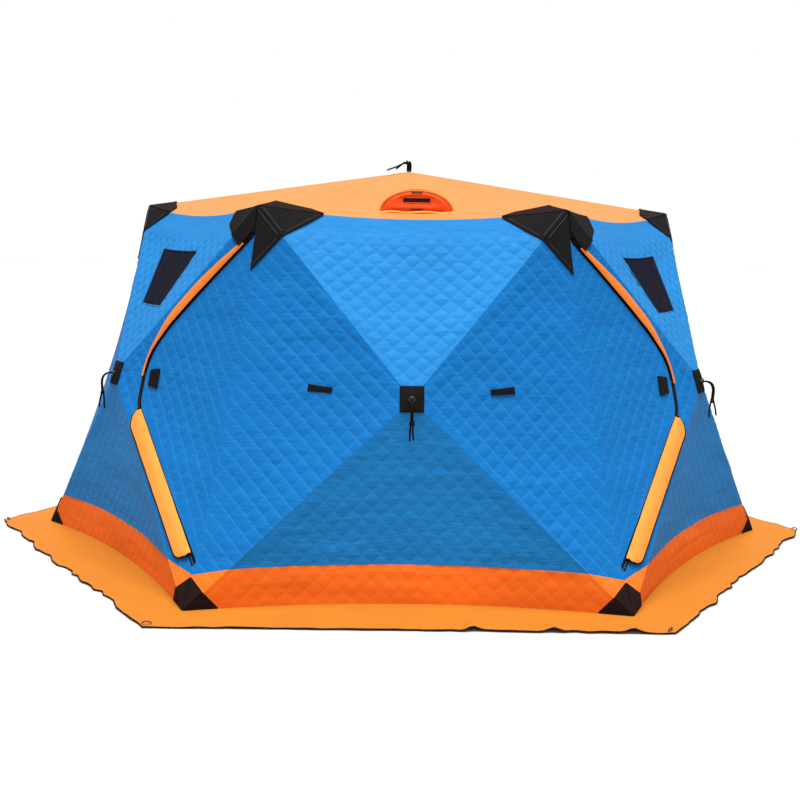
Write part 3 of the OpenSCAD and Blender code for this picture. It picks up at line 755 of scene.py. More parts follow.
def build_wall(name, angle, seed):
    build = Build()
    above = "top" if name in ("front", "back") else "top_window"
    add_panel(build, LOW, PATTERNS["low"], seed)
    add_panel(build, TOP, PATTERNS[above], seed + 1)
    doorway = name in ("front_left", "front_right")
    if doorway:
        add_panel(build, RIGHT, PATTERNS["right_doorway"], seed + 2, edge=door_hole, slot=2)
    else:
        add_panel(build, RIGHT, PATTERNS["right"], seed + 2, slot=2)
    add_panel(build, LEFT, PATTERNS["left"], seed + 3, slot=2)
    flip = name == "front_right"
    # slot 2, for the facets beside the corner seams, is the blue with painted shade
    obj = build.piece(name + "_wall_cloth", [BLUE, LINING, BLUE_PAINTED_SHADE], "hut", name + "_wall",
                      -60 if flip else angle, flip)
    declare_sheet(obj, (2.0, 1.8))


def build_band(name, angle, seed):
    build = Build()
    parts = ((LOW, "band_low"), (RIGHT, "band_right"), (LEFT, "band_left"))
    for k, (facet, pattern) in enumerate(parts):
        add_panel(build, facet, PATTERNS[pattern], seed + k, 0.0015, 0.0015)
    obj = build.piece(name + "_band_cloth", [ORANGE, LINING], "hut", name + "_band", angle)
    declare_sheet(obj, (2.0, 0.25))


for order, (side, angle) in enumerate(WALLS.items()):
    build_wall(side, angle, 40 * order + 11)
    build_band(side, angle, 40 * order + 17)


# --- windows ---
def build_window(name, angle):
    rows, cols = 17, 25
    tt, rr = np.meshgrid(0.5 + WIN_HALF * np.linspace(-1, 1, cols),
                         np.linspace(WIN_IN, WIN_OUT, rows))
    base = TOP.point(tt.ravel(), rr.ravel())
    xy = TOP.flat(tt.ravel(), rr.ravel())
    sway = 0.0012 * noise(xy[:, 0] / 0.11, xy[:, 1] / 0.09, 5)
    outer = base + (sway - 0.0015)[:, None] * TOP.normal
    faces = facing(outer, grid_faces(rows, cols), TOP.normal)
    pane = add_solid(Build(), outer, outer - 0.003 * TOP.normal, faces)
    pane = pane.piece(name + "_window_pane", [WINDOW], "hut", name + "_window", angle)
    trim = Build()
    path = line_points(TOP, np.concatenate([window_hole, window_hole[:1]]), lift=0.002)
    add_tube(trim, path[:-1], 0.004, closed=True, flat=0.5, normals=TOP.normal)
    trim.piece(name + "_window_trim", [TRIM_BLUE], "hut", (), angle)


for side in ("front_left", "front_right", "back_left", "back_right"):
    build_window(side, WALLS[side])


# --- roof ---
def roof_surface(t, r, seed=71):
    """The roof over one wall with the slack of cloth between its ridges."""
    base = GORE.point(t, r)
    ease = smooth(np.minimum(t, 1 - t) * r, 0, 0.12) * smooth(1 - r, 0, 0.05)
    soft = 0.004 * noise(base[:, 0] / 0.22, base[:, 1] / 0.3, seed)
    soft += 0.002 * noise(base[:, 0] / 0.6, base[:, 1] / 0.05, seed + 1)
    return base + (ease * soft)[:, None] * UP


def build_roof():
    build = Build()
    rows, cols = 45, 41
    rr, tt = np.meshgrid(np.linspace(0.004, 1, rows), np.linspace(0, 1, cols), indexing="ij")
    t, r = tt.ravel(), rr.ravel()
    for k in range(6):
        outer = roof_surface(t, r, 71 + 9 * k)
        out = outward(GORE.point(t, r), GORE, r)
        faces = facing(outer, grid_faces(rows, cols), UP)
        points, closed, back = shell(outer, outer - SKIN * out, faces)
        build.add(turn(points, 60 * k), closed, back)
    obj = build.piece("roof_cloth", [ROOF_ORANGE, LINING], "hut", "roof")
    declare_sheet(obj, (2.86, 2.5))


build_roof()


# --- snow skirt ---
def skirt_rim(angle):
    """Distance of the skirt's edge from the centre, with its uneven hand-laid corners."""
    turns = angle / (math.pi / 3)
    within = (turns % 1.0) - 0.5
    flat_side = SKIRT_R * C30 / np.cos(within * math.pi / 3)
    ahead = angle + math.pi / 2
    tidy = smooth(np.cos(ahead), 0.7, 0.9) * (1 - 0.5 * smooth(np.sin(ahead), 0.0, 0.12))
    wild = 1.5 - 1.2 * tidy  # the rim is straighter in front than elsewhere
    ripple = (0.008 * noise(turns * 6.0, turns * 0, 31) + 0.010 * noise(turns * 17.0, turns * 0, 32)
              + 0.007 * noise(turns * 41.0, turns * 0, 33))
    return flat_side - 0.01 + ripple * wild


# where the front edge of the skirt curls up, how high, and each curl's half width
SKIRT_CURLS, CURL_H, CURL_W = (0.27, 0.62, 0.96), 0.017, 0.03
SKIRT_THICK = 0.004


def build_skirt():
    rows, per_side = 17, 110
    t = np.arange(per_side) / per_side
    front_hem = LOW.edge(t) + np.array([0, -0.0012, 0])
    front_angle = np.arctan2(front_hem[:, 1], front_hem[:, 0])
    hem = np.concatenate([turn(front_hem, 60 * k) for k in range(6)])
    angle = np.concatenate([front_angle + math.radians(60 * k) for k in range(6)])
    reach = skirt_rim(angle)
    rim = np.stack([reach * np.cos(angle), reach * np.sin(angle), np.zeros(6 * per_side)], 1)
    turns = angle / (math.pi / 3)
    curls = CURL_H * sum(np.exp(-((rim[:, 0] - x) / CURL_W) ** 2) for x in SKIRT_CURLS)
    curls *= rim[:, 1] < -1.8  # in front only
    points = []
    for row in np.linspace(0, 1, rows):
        drop = hem[:, 2] * (1 - smooth(row, 0.0, 0.3))
        lift = 0.006 * (1 + noise(turns * 14, turns * 0 + row * 1.5, 41)) * (1 - 0.7 * row)
        lift += 0.002 * (1 + noise(turns * 34, turns * 0 + row, 42)) * smooth(row, 0.5, 1)
        p = hem + (rim - hem) * row
        p[:, 2] = drop + 0.0045 + lift * smooth(row, 0.02, 0.35) + curls * smooth(row, 0.55, 1)
        points.append(p)
    outer = np.concatenate(points)
    faces = facing(outer, ring_faces(rows, 6 * per_side), UP)
    skirt = add_solid(Build(), outer, outer - SKIRT_THICK * UP, faces)
    obj = skirt.piece("skirt_cloth", [SKIRT_ORANGE], "hut", "snow_skirt")
    binding = Build()
    add_tube(binding, points[-1] - 0.0015 * UP, 0.0032, closed=True, sides=8, flat=0.8,
             normals=UP)
    binding.piece("skirt_binding", [BINDING], "hut")


build_skirt()


# --- doors ---
HINGE = np.array([RIGHT.point(np.array(t), np.array(1.0)) for t in (0.11, 0.928)])
HINGE_ALONG = unit(HINGE[1] - HINGE[0])
TO_NOSE = RIGHT.point(np.array(0.45), np.array(0.3)) - HINGE[0]
TO_NOSE -= (TO_NOSE @ HINGE_ALONG) * HINGE_ALONG
TO_NOSE -= (TO_NOSE @ RIGHT.normal) * RIGHT.normal
BEND_START = HINGE[0]
BEND_END = HINGE[0] + 0.085 * unit(TO_NOSE)


def split_line(line, r_min, upper):
    """The upper or lower side of a doorway line, out from the nose, beyond r_min."""
    half = len(line) // 2
    side = line[half:] if upper else line[:half][::-1]
    dense = np.concatenate([a + (b - a) * np.linspace(0, 1, 12, endpoint=False)[:, None]
                            for a, b in zip(side[:-1], side[1:])] + [side[-1:]])
    r = RIGHT.shares(dense)[1]
    return dense[r >= r_min]


FLAP_COLS = 9


def flap_shape(base_line, widths, low, high, tuck=0.0):
    """A strip of cloth below a line: it reaches from tuck to widths, and low and high
    are its two faces' distances off the wall."""
    ahead = np.gradient(base_line, axis=0)
    ahead /= np.linalg.norm(ahead, axis=1, keepdims=True)
    aside = np.stack([ahead[:, 1], -ahead[:, 0]], 1)
    shares = np.linspace(0, 1, FLAP_COLS)
    xy = np.stack([base_line + aside * (tuck + (widths - tuck) * s)[:, None] for s in shares], 1)
    xy = xy.reshape(-1, 2)
    t, r = RIGHT.shares(xy)
    base = RIGHT.point(t, r)
    s = np.tile(shares, len(base_line))
    belly = 0.004 * np.sin(math.pi * s) + 0.0015 * noise(xy[:, 0] / 0.06, xy[:, 1] / 0.06, 8)
    outer = base + (high + belly)[:, None] * RIGHT.normal
    inner = base + (low + 0.6 * belly)[:, None] * RIGHT.normal
    faces = facing(outer, grid_faces(len(base_line), FLAP_COLS), RIGHT.normal)
    free_edge = np.arange(len(base_line)) * FLAP_COLS + FLAP_COLS - 1
    return outer, inner, faces, free_edge, s


def distance_along(line):
    steps = np.linalg.norm(np.diff(line, axis=0), axis=1)
    return np.concatenate([[0], np.cumsum(steps)])


class Door:
    """A doorway's pieces, made on the front left wall and mirrored for the right."""

    def __init__(self, side):
        self.side, self.flip, self.body = side, side == "right", side + "_door_body"

    def place(self, build, name, materials, owner="hut", nodes=()):
        """A piece that stays flat when it turns, on the hut or on the door."""
        return build.piece(f"{self.side}_{name}", materials, owner, nodes, -60, self.flip)

    def hang(self, build, name, materials, nodes=()):
        """A piece of the door, sewn to the corner seam, made with no body and its turn baked into its
        points.
        """
        obj = build.piece(f"{self.side}_{name}", materials, None, nodes, -60, self.flip)
        ends = turn(np.array([BEND_START, BEND_END]), -60)
        ends = mirror(ends) if self.flip else ends
        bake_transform(obj)
        return obj


def build_door_cloth(door):
    build = Build()
    add_panel(build, RIGHT, PATTERNS["door"], 203, 0.0012, 0.0025, door_line(0.0, 1.0),
              skin=DOOR_SKIN)
    # the door's cloth is the blue with painted shade
    obj = door.hang(build, "door_cloth", [BLUE_PAINTED_SHADE, LINING], door.side + "_door")
    declare_sheet(obj, (1.0, 1.45))
    return obj


def build_zip(door):
    """The door's own half of the zip, then the wall's half with its teeth."""
    own, tape = Build(), Build()
    add_strip(own, RIGHT, rounded(door_line(-0.002, DOOR_END)), 0.009, 0.0035, 0.0005)
    door.hang(own, "door_zip_edge", [WEBBING])
    add_strip(tape, RIGHT, rounded(door_line(DOOR_GAP + 0.006, ZIP_END)), 0.013, 0.003, 0.0)
    teeth_line = rounded(door_line(DOOR_GAP + 0.0005, ZIP_END))
    add_tube(tape, line_points(RIGHT, teeth_line, lift=0.0008), 0.0016, 1, sides=6)
    door.place(tape, "wall_zip_tape", [WEBBING, ZIP_TEETH], "hut", door.side + "_zip_tape")


def build_lower_flap(door):
    """The flap sewn along the door's lower edge, over the zip and the wall beside it."""
    line = split_line(door_line(-0.004, DOOR_END), 0.305, False)
    line = line[RIGHT.shares(line)[1] <= 0.962]
    along = distance_along(line)
    total = float(along[-1])
    to_end = np.clip(np.minimum(along, total - along) / 0.06, 0, 1)
    widths = LOWER_FLAP_W * np.sqrt(np.clip(1 - (1 - to_end) ** 2, 0.02, 1)) + 0.012
    outer, inner, faces, free_edge, s = flap_shape(line, widths, 0.0105, 0.0135)
    sink = (0.007 * (1 - smooth(s, 0, 0.3)))[:, None] * RIGHT.normal
    flap = add_solid(Build(), outer - sink, inner - sink, faces)
    obj = door.hang(flap, "zip_flap_cloth", [FLAP_ORANGE], door.side + "_zip_flap")
    middle = (outer + inner) / 2
    sunk = middle - sink
    piping = Build()
    add_tube(piping, np.concatenate([sunk[[0, 3, 6]], middle[free_edge], sunk[[-3, -6, -9]]]),
             0.0042, sides=8)
    door.hang(piping, "zip_flap_piping", [BINDING])
    declare_sheet(obj, (0.12, round(total + 0.01, 2)))


def build_upper_flap(door):
    """The flap sewn on the wall above the zip, its free edge over the tape."""
    line = split_line(door_line(UPPER_FLAP_W, DOOR_END), 0.0, True)
    below = split_line(door_line(UPPER_FLAP_W, DOOR_END), 0.0, False)[::-1]
    below = below[(RIGHT.shares(below)[0] > 0.33) & (RIGHT.shares(below)[1] < 0.3)]
    line = np.concatenate([below[:-1], line[RIGHT.shares(line)[1] <= 0.9]])
    along = distance_along(line)
    total = float(along[-1])
    widths = np.full(len(line), UPPER_FLAP_W)
    tapered = 0.35 + 0.65 * smooth(total - along, 0, 0.35)
    broad = 0.28 + 0.62 * smooth(along, 0.1, 0.45) * tapered
    outer, inner, faces, free_edge, _ = flap_shape(line, widths, 0.006, 0.009,
                                                   widths * (1 - broad))
    flap = add_solid(Build(), outer, inner, faces)
    obj = door.place(flap, "upper_flap_cloth", [UPPER_FLAP_ORANGE], "hut",
                     door.side + "_upper_flap")
    declare_sheet(obj, (0.05, round(total + 0.01, 2)))
    piping = Build()
    add_tube(piping, (outer + inner)[free_edge] / 2, 0.0032, sides=8)
    door.place(piping, "upper_flap_piping", [BINDING])


def build_slider(door):
    """A slider with its pull, near the nose."""
    nose = rounded(door_line(DOOR_GAP - 0.002, ZIP_END))
    middle = nose[len(nose) // 2 + 6]
    path = line_points(RIGHT, np.array([middle, middle + [0.0, 0.02]]), 0.01, 0.004)
    slider = Build()
    add_tube(slider, path, 0.006, sides=10, flat=0.5, normals=RIGHT.normal)
    pull = path[0] + np.array([[0.0, -0.003, -0.004], [0.004, -0.008, -0.024],
                               [0.008, -0.009, -0.054]])
    add_tube(slider, pull, 0.0028, 1, sides=8)
    door.place(slider, "zip_slider", [SLIDER, ANCHOR_RED])


def build_webbing_patch(door):
    patch = Build()
    add_patch(patch, RIGHT, [(0.47, 0.325), (0.6, 0.325), (0.6, 0.405), (0.47, 0.405)],
              0.004, 0.0075, puff=0.0015)
    obj = door.place(patch, "door_webbing_patch", [WEBBING], door.body, door.side + "_door_tab")


for side in ("left", "right"):
    doorway = Door(side)
    door_cloth = build_door_cloth(doorway)
    build_zip(doorway)
    build_lower_flap(doorway)
    build_upper_flap(doorway)
    build_slider(doorway)
    build_webbing_patch(doorway)


# --- corner caps ---
# A cap is made for the front wall's two ends, side -1 on its left and 1 on its right.
# The right end belongs to the corner before it, so it is turned back by one wall.
SIDES = ((-1, LEFT, 0), (1, RIGHT, -60))


def from_seam(sign, t):
    """A share t from the seam at either end of a facet."""
    return t if sign < 0 else 1 - t


def add_cap_edge(build, facet, shares, lift, turned, radius=0.0045, raised=0.0):
    """Binding along a cap's cut edge."""
    path = line_points(facet, flat_polygon(facet, shares), 0.015, lift) + raised * UP
    add_tube(build, path, radius, 0, turned, sides=8, flat=0.6, normals=facet.normal)


def add_stitches(build, facet, shares, towards, away, lift, radius, turned, short=0.0):
    """Thread beside a straight line, moved away from it towards a point of the facet."""
    line = flat_polygon(facet, shares)
    d = unit(line[1] - line[0])
    n = np.array([-d[1], d[0]])
    n *= 1 if (flat_polygon(facet, [towards])[0] - line[0]) @ n > 0 else -1
    path = line_points(facet, line + away * n + np.outer([short, -short], d), 0.015, lift)
    add_tube(build, path, radius, 1, turned, sides=6)


def add_cap_side(cap, trim, sign, facet, by_door, turned):
    """A cap's parts on the facet under the roof and on the facet beside it. Next to a
    doorway the cap stops above the zip, in a lobe."""
    reach = CAP_DOOR_ALONG if by_door else CAP_ALONG
    high = CAP_OVER_ZIP if by_door else CAP_HIGH
    seam, end = from_seam(sign, 0.0), from_seam(sign, reach)
    wall_lobe = [(from_seam(sign, 0.14), 0.92)] * by_door
    side_lobe = [(0.938, 0.9), (0.936, 0.95)] * by_door
    wall_edge = [(end, 1.0)] + wall_lobe + [(seam, CAP_NOTCH)]
    side_edge = [(1.0, CAP_NOTCH)] + side_lobe + [(CAP_BY_DOOR if by_door else CAP_DOWN, 1.0)]
    wall_part = [(seam, 1.0), (from_seam(sign, reach / 2), 1.0)] + wall_edge
    add_patch(cap, TOP, wall_part, CAP_LOW, CAP_HIGH, 0, turned, puff=CAP_PUFF)
    add_patch(cap, facet, side_edge + [(1.0, 1.0)], CAP_LOW, high, 1, turned, puff=CAP_PUFF)
    for owner, shares, seam_t, lift in ((TOP, wall_edge, seam, CAP_HIGH - 0.001),
                                        (facet, side_edge, 1.0, high - 0.001)):
        add_cap_edge(trim, owner, shares, lift, turned)
        if not by_door:
            add_stitches(trim, owner, shares, (seam_t, 1.0), 0.011, 0.0078, 0.0009, turned, 0.03)
    for owner, pole_t in ((facet, 1.0), (TOP, seam)):
        add_stitches(trim, owner, [(pole_t, CAP_NOTCH + 0.02), (pole_t, 0.985)], (0.5, 0.9),
                     0.0125, 0.0082, 0.0011, turned)


def add_cap_roof(cap, trim, sign, by_door, turned):
    """A cap's part on the roof."""
    reach = CAP_DOOR_ALONG if by_door else CAP_ALONG
    seam, end, bend = (from_seam(sign, t) for t in (0.0, reach, reach * 0.7))
    edge = [(end, 1.0), (bend, (1 + CAP_ROOF) / 2), (seam, CAP_ROOF)]
    add_patch(cap, GORE, [(seam, 1.0)] + edge, CAP_LOW, 0.007, 2, turned, puff=CAP_PUFF)
    add_cap_edge(trim, GORE, edge, 0.0062, turned)


def build_top_caps():
    cap, trim = Build(), Build()
    for k in range(6):
        # the corner at wall k's left end; the doorways are beside the front wall's corners
        door_k = {-1: 1, 1: 0}
        for sign, facet, turned in SIDES:
            add_cap_side(cap, trim, sign, facet, k == door_k[sign], turned + 60 * k)
        for sign, _, turned in SIDES:
            add_cap_roof(cap, trim, sign, k == door_k[sign], turned + 60 * k)
    obj = cap.piece("top_corner_cap_cloth", [OXFORD, OXFORD, BROWN], "hut", "top_corner_caps")
    trim.piece("top_corner_cap_edges", [BINDING, THREAD], "hut")


def build_foot_caps():
    cap, trim = Build(), Build()
    for k in range(6):
        for sign, facet, turned in SIDES:
            along_hem = (LOW, from_seam(sign, 0.0), from_seam(sign, FOOT))
            for owner, seam, end in (along_hem, (facet, 0.0, FOOT)):
                edge = [(end, 1.0), (seam, 1 - FOOT_POLE)]
                add_patch(cap, owner, [(seam, 1.0)] + edge, CAP_LOW, CAP_HIGH, 0,
                          turned + 60 * k, puff=0.001, wave=0.0012, seed=60 + k, lift=FOOT_LIFT)
                add_cap_edge(trim, owner, edge, CAP_HIGH - 0.001, turned + 60 * k, 0.004, FOOT_LIFT)
    obj = cap.piece("bottom_corner_cap_cloth", [BROWN], "hut", "bottom_corner_caps")
    trim.piece("bottom_corner_cap_edges", [BINDING], "hut")


build_top_caps()
build_foot_caps()


# --- hub patches and wall tabs ---
HUB_BLEND = 220.0  # how tightly the cloth is drawn over a hub plate


def wall_depth(x, z):
    """The wall's y near its hub, with the tip rounded as cloth over a hub plate."""
    planes = np.stack([-(f.normal[0] * x + f.normal[2] * (z - HUB_H)) / f.normal[1] - HUB_OUT
                       for f in (LOW, TOP, LEFT, RIGHT)])
    top = planes.max(0)
    return top + np.log(np.exp((planes - top) * HUB_BLEND).sum(0)) / HUB_BLEND


def build_hub_patches():
    side = 31  # points along a side
    xx, zz = np.meshgrid(np.linspace(-HUB_PATCH, HUB_PATCH, side),
                         np.linspace(-0.057, 0.056, side))
    x, z = xx.ravel(), zz.ravel()
    y = wall_depth(x, HUB_H + z)
    rim = smooth(np.minimum(HUB_PATCH - np.abs(x), 0.0565 - np.abs(z + 0.0005)), 0, 0.008)
    crease = 0.0012 * noise(x / 0.02, z / 0.016, 77)
    outer = np.stack([x, y - 0.0065 - 0.0015 * rim - crease, HUB_H + z], -1)
    inner = np.stack([x, y - 0.0025, HUB_H + z], -1)
    faces = facing(outer, grid_faces(side, side), FRONT)
    round_bolt = np.linspace(0, 2 * math.pi, 24, endpoint=False)
    bolt_ring = HUB + np.stack([0.0115 * np.cos(round_bolt), np.full(24, -0.0095),
                                0.0115 * np.sin(round_bolt)], -1)
    patch = Build()
    for angle in range(0, 360, 60):
        add_solid(patch, outer, inner, faces, 0, angle)
        add_tube(patch, bolt_ring, 0.0035, 1, angle, sides=8, closed=True)
    obj = patch.piece("hub_patch_cloth", [WEBBING, BOLT], "hut", "hub_patches")


def build_wall_tabs():
    tabs = Build()
    shares = [(0.545, 0.435), (0.575, 0.435), (0.575, 0.57), (0.545, 0.57)]
    for turned in (0, 180):
        for facet in (LEFT, RIGHT):
            add_patch(tabs, facet, shares, 0.004, 0.008, 0, turned, puff=0.003)
    obj = tabs.piece("wall_webbing_tabs", [WEBBING], "hut", "wall_tabs")


build_hub_patches()
build_wall_tabs()


# --- cords ---
STRAND_APART = 0.0031  # half of the gap between a wall cord's strands, from axis to axis
ROOF_STRAND_APART = 0.0043


def hanging_cord(name, path):
    """A free cord as a smooth open curve; its length is measured along the curve."""
    curve = bpy.data.curves.new(name, "CURVE")
    curve.dimensions, curve.bevel_depth, curve.bevel_resolution = "3D", CORD_D / 2, 3
    curve.use_fill_caps = True
    spline = curve.splines.new("POLY")
    smooth_path = rounded(path)
    spline.points.add(len(smooth_path) - 1)
    for p, q in zip(spline.points, smooth_path):
        p.co = (*q, 1.0)
    curve.materials.append(CORD)
    obj = bpy.data.objects.new(name, curve)
    bpy.context.scene.collection.objects.link(obj)
    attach(obj, "hut")
    return obj, line_length(smooth_path)


def knot_piece(name, centre, size, turned=0.0):
    """A simple knot: two turns of cord wound round the pair of strands."""
    turns = np.linspace(0, 4.4 * math.pi, 60)
    path = np.stack([size * np.cos(turns), size * 0.8 * np.sin(turns),
                     0.006 * np.sin(turns * 0.5) + (turns / turns[-1] - 0.5) * 0.016], -1)
    build = Build()
    add_tube(build, centre + path, 0.0037)
    return build.piece(name, [CORD], "hut", (), turned)


def build_wall_cord(name, turned):
    """Two strands out of the hub, down together to a knot, then two loose tails."""
    start = HUB + CORD_OUT * FRONT
    shared = [(0, 0, 0), (1, -16, 1), (2, -34, -3), (2, -48, -18), (1, -53, -40), (0, -52, -62),
              (-1, -50, -84)]
    left = shared + [(-2, -46, -106), (-4, -43, -130), (-5, -42, -155), (-4, -42, -178)]
    right = shared + [(0, -54, -105), (1, -61, -127), (2, -65, -149), (5, -66, -168)]
    strands = []
    for strand, aside, path in (("left", -STRAND_APART, left), ("right", STRAND_APART, right)):
        points = turn(start + np.array(path) / 1000 + [aside, -aside, 0], turned)
        strands.append((points[0], *hanging_cord(f"{name}_{strand}_strand", points)))
    knot = knot_piece(name + "_knot", start + np.array([0, -0.0495, -0.098]), 0.0095, turned)
    for (exit_point, obj, length), pieces in zip(strands, ([knot], [])):
        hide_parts(name)


def roof_pull_strap(start):
    """A short loop of webbing that holds the roof's cord upright over its hub."""
    route = [(0, 0, -11), (0, 0, 6), (0.5, -1, 18), (0, -3, 27), (-2, -5, 34), (-6, -6, 39)]
    path = densify(start + np.array(route) / 1000, 0.004)
    build = Build()
    add_tube(build, path, 0.0135, sides=14, flat=0.5, normals=FRONT)
    return build.piece("roof_pull_strap", [WEBBING])


def build_roof_cord():
    start = APEX + CORD_OUT * UP
    rise = [(0, 0, 0), (0, -2, 16), (-4, -5, 30), (-15, -9, 37), (-30, -13, 35)]
    near = rise + [(-44, -16, 24), (-58, -21, 12), (-72, -27, 1)]
    far = rise + [(-46, -18, 26), (-64, -25, 16), (-84, -32, 8), (-104, -39, 1), (-120, -46, -6)]
    for strand, aside, path in (("near", -ROOF_STRAND_APART, near), ("far", ROOF_STRAND_APART, far)):
        points = start + np.array(path) / 1000 + [0, aside, 0]
        obj, length = hanging_cord(f"roof_pull_{strand}_strand", points)
        pieces = []
        if strand == "near":
            knot_at = start + np.array([-0.019, -0.009, 0.036])
            pieces = [knot_piece("roof_pull_knot", knot_at, 0.0105), roof_pull_strap(start)]
        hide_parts("roof_pull_cord")


for wall_name, wall_turn in WALLS.items():
    build_wall_cord(wall_name + "_pull_cord", wall_turn)
build_roof_cord()


# --- roof vent ---
VENT_BASE = (GORE.point(np.array([0.5]), np.array([VENT_AT]))[0]
             + np.array([VENT_SIDE, 0, 0.005]))
VENT_TAIL = (GORE.point(np.array([0.5]), np.array([VENT_AT - 0.3]))[0]
             + np.array([VENT_SIDE, 0, 0.003]))
SLOT_LOW, SLOT_HIGH, SLOT_HALF = 0.040, 0.064, 0.066  # the opening in the vent's panel
SLOT_MIDDLE = np.array([0.0, (SLOT_LOW + SLOT_HIGH) / 2])


def build_vent_hood():
    """A half cone that lies back on the roof and narrows to its tail."""
    rows, cols = 21, 37
    a = np.linspace(math.pi, 0, cols)
    outer, inner = [], []
    for s in np.linspace(0, 1, rows):
        width = VENT_W / 2 * (1 - s) ** 0.6 * 0.98 + 0.06 * (1 - (1 - s) ** 0.6)
        height = VENT_H * (1 - s) ** 1.1 + 0.012
        centre = VENT_BASE + (VENT_TAIL - VENT_BASE) * s
        for target, thin in ((outer, 0.0), (inner, 0.004)):
            target.append(np.stack([centre[0] + (width - thin) * np.cos(a),
                                    np.full(cols, centre[1]),
                                    centre[2] - 0.006 + (height - thin) * np.sin(a)], -1))
    outer, inner = np.concatenate(outer), np.concatenate(inner)
    hood = add_solid(Build(), outer, inner, facing(outer, grid_faces(rows, cols), UP))
    obj = hood.piece("vent_hood_cloth", [ROOF_ORANGE], "hut", "vent_hood")


def vent_rings(around):
    """The panel's slot and its arched outline, as flat points at the same angles."""
    slot_ring, arch_ring = [], []
    for a in np.linspace(0, 2 * math.pi, around, endpoint=False):
        c, s = math.cos(a), math.sin(a)
        reach = min(SLOT_HALF / max(abs(c), 1e-6), (SLOT_HIGH - SLOT_LOW) / 2 / max(abs(s), 1e-6))
        slot_ring.append(SLOT_MIDDLE + reach * np.array([c, s]))
        # the furthest point that is still in the half ellipse under the arch
        ray = SLOT_MIDDLE + np.linspace(0.01, 0.25, 400)[:, None] * np.array([c, s])
        across, high = ray[:, 0] / (VENT_W / 2 - 0.002), ray[:, 1] / (VENT_H - 0.002)
        arch_ring.append(ray[(across ** 2 + high ** 2 < 1) & (ray[:, 1] > -0.004)][-1])
    return np.array(slot_ring), np.array(arch_ring)


def build_vent_panel():
    """The red panel in the hood's mouth, with a slot through it."""
    radial, around = 9, 96
    slot_ring, arch_ring = vent_rings(around)
    shares = np.linspace(0, 1, radial)
    grid = np.concatenate([slot_ring + (arch_ring - slot_ring) * s for s in shares])
    bulge = np.repeat(0.006 * np.sin(shares * math.pi) ** 2, around)
    soft = 0.0015 * noise(grid[:, 0] / 0.03, grid[:, 1] / 0.02, 91)
    front = VENT_BASE + np.stack([grid[:, 0], -0.004 - bulge - soft, grid[:, 1]], -1)
    rear = VENT_BASE + np.stack([grid[:, 0], np.zeros(len(grid)), grid[:, 1]], -1)
    panel = add_solid(Build(), front, rear, facing(front, ring_faces(radial, around), FRONT))
    obj = panel.piece("vent_panel_cloth", [RED], "hut", "vent_panel")


def build_vent_trim():
    """Dark cloth behind the slot and its frame, two slits drawn as dark cords, which are painted
    shade, a lip along the foot and the piping on the arch."""
    trim = Build()
    frame_corners = ((-SLOT_HALF, SLOT_LOW), (SLOT_HALF, SLOT_LOW), (SLOT_HALF, SLOT_HIGH),
                     (-SLOT_HALF, SLOT_HIGH))
    back = np.array([VENT_BASE + [x, 0.0025, z] for x, z in frame_corners])
    trim.add(np.concatenate([back, back + [0, 0.002, 0]]),
             [[0, 1, 2, 3], [7, 6, 5, 4], [0, 4, 5, 1], [1, 5, 6, 2], [2, 6, 7, 3], [3, 7, 4, 0]])
    slot_frame = densify(np.concatenate([back, back[:1]]) + [0, -0.0075, 0], 0.006)[:-1]
    add_tube(trim, slot_frame, 0.0022, 1, sides=6, closed=True)
    # two slits: dark cords laid on the panel, painted shade where the slits open
    for half, z in ((0.026, 0.089), (0.030, 0.010)):
        painted_slit_shade = np.array([VENT_BASE + [x, -0.0105, z] for x in np.linspace(-half, half, 10)])
        add_tube(trim, painted_slit_shade, 0.0028, 0, sides=6)
    x = np.linspace(-VENT_W / 2, VENT_W / 2, 40)
    lip = VENT_BASE + np.stack([x, -0.012 - 0.010 * np.cos(x * 9),
                                -0.006 + 0.002 * np.sin(x * 40)], -1)
    add_tube(trim, lip, 0.012, 3, sides=10, flat=0.6)
    a = np.linspace(math.pi, 0, 48)
    arch = VENT_BASE + np.stack([VENT_W / 2 * 0.985 * np.cos(a), np.full(48, -0.003),
                                 (VENT_H - 0.002) * np.sin(a)], -1)
    add_tube(trim, arch, 0.0045, 2, sides=8)
    trim.piece("vent_trim", [LINING, RED, UPPER_FLAP_ORANGE, FLAP_ORANGE], "hut")


build_vent_hood()
build_vent_panel()
build_vent_trim()


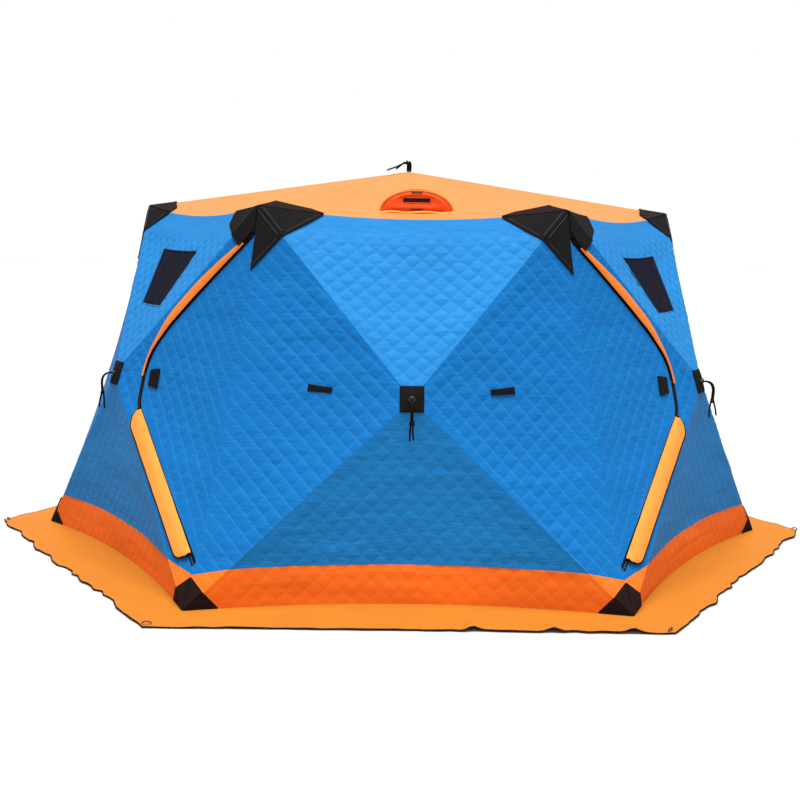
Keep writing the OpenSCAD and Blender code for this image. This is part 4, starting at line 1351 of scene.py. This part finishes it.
# --- anchor loops on the skirt ---
ANCHOR_AT = np.array([-1.125, -1.948, 0.009])


def build_anchor_loops():
    loops = Build()
    a = np.linspace(0, math.pi, 14)
    path = ANCHOR_AT + np.stack([0.02 * np.cos(a), 0.003 * np.cos(a * 2), 0.012 * np.sin(a)], -1)
    for angle in range(0, 360, 60):
        add_tube(loops, path, 0.0042, 0, angle, sides=8, flat=0.6)
    loops.piece("skirt_anchor_loops", [ANCHOR_RED], "hut")


build_anchor_loops()

# --- finishes of the CAD parts that stay in sight ---
for node_name, material in (("wall_hubs", HUB_PLASTIC), ("roof_hub", HUB_PLASTIC),
                            ("wall_poles", POLE), ("roof_poles", POLE)):
    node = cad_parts[node_name]
    node.data.materials.clear()
    node.data.materials.append(material)


# --- studio ---
# name, the way its light comes from, its strength and its spread in degrees
PANELS = (("sky_panel", (0.0, -0.22, 0.975), 8.2, 40), ("front_panel", (0.0, -1.0, 0.05), 1.0, 90))


def build_stage():
    floor_mesh = bpy.data.meshes.new("floor")
    half, low = 40.0, -0.002
    floor_mesh.from_pydata([(-half, -half, low), (half, -half, low), (half, half, low),
                            (-half, half, low)], [], [[0, 1, 2, 3]])
    n = Nodes("studio_floor")
    n.shader.inputs["Specular IOR Level"].default_value = 0.0
    floor_mesh.materials.append(n.join((0.3, 0.3, 0.3, 1.0), 0.9))
    floor = bpy.data.objects.new("floor", floor_mesh)
    bpy.context.scene.collection.objects.link(floor)
    world = bpy.data.worlds.new("studio")
    bpy.context.scene.world = world
    world.use_nodes = True
    background = world.node_tree.nodes["Background"]
    background.inputs["Color"].default_value = (1.0, 1.0, 1.0, 1.0)
    background.inputs["Strength"].default_value = 1.0
    for name, source, energy, spread in PANELS:
        data = bpy.data.lights.new(name, "SUN")
        data.energy, data.angle = energy, math.radians(spread)
        light = bpy.data.objects.new(name, data)
        light.rotation_euler = Vector(source).to_track_quat("Z", "Y").to_euler()
        bpy.context.scene.collection.objects.link(light)
    bpy.context.scene.view_settings.view_transform = "Standard"


build_stage()
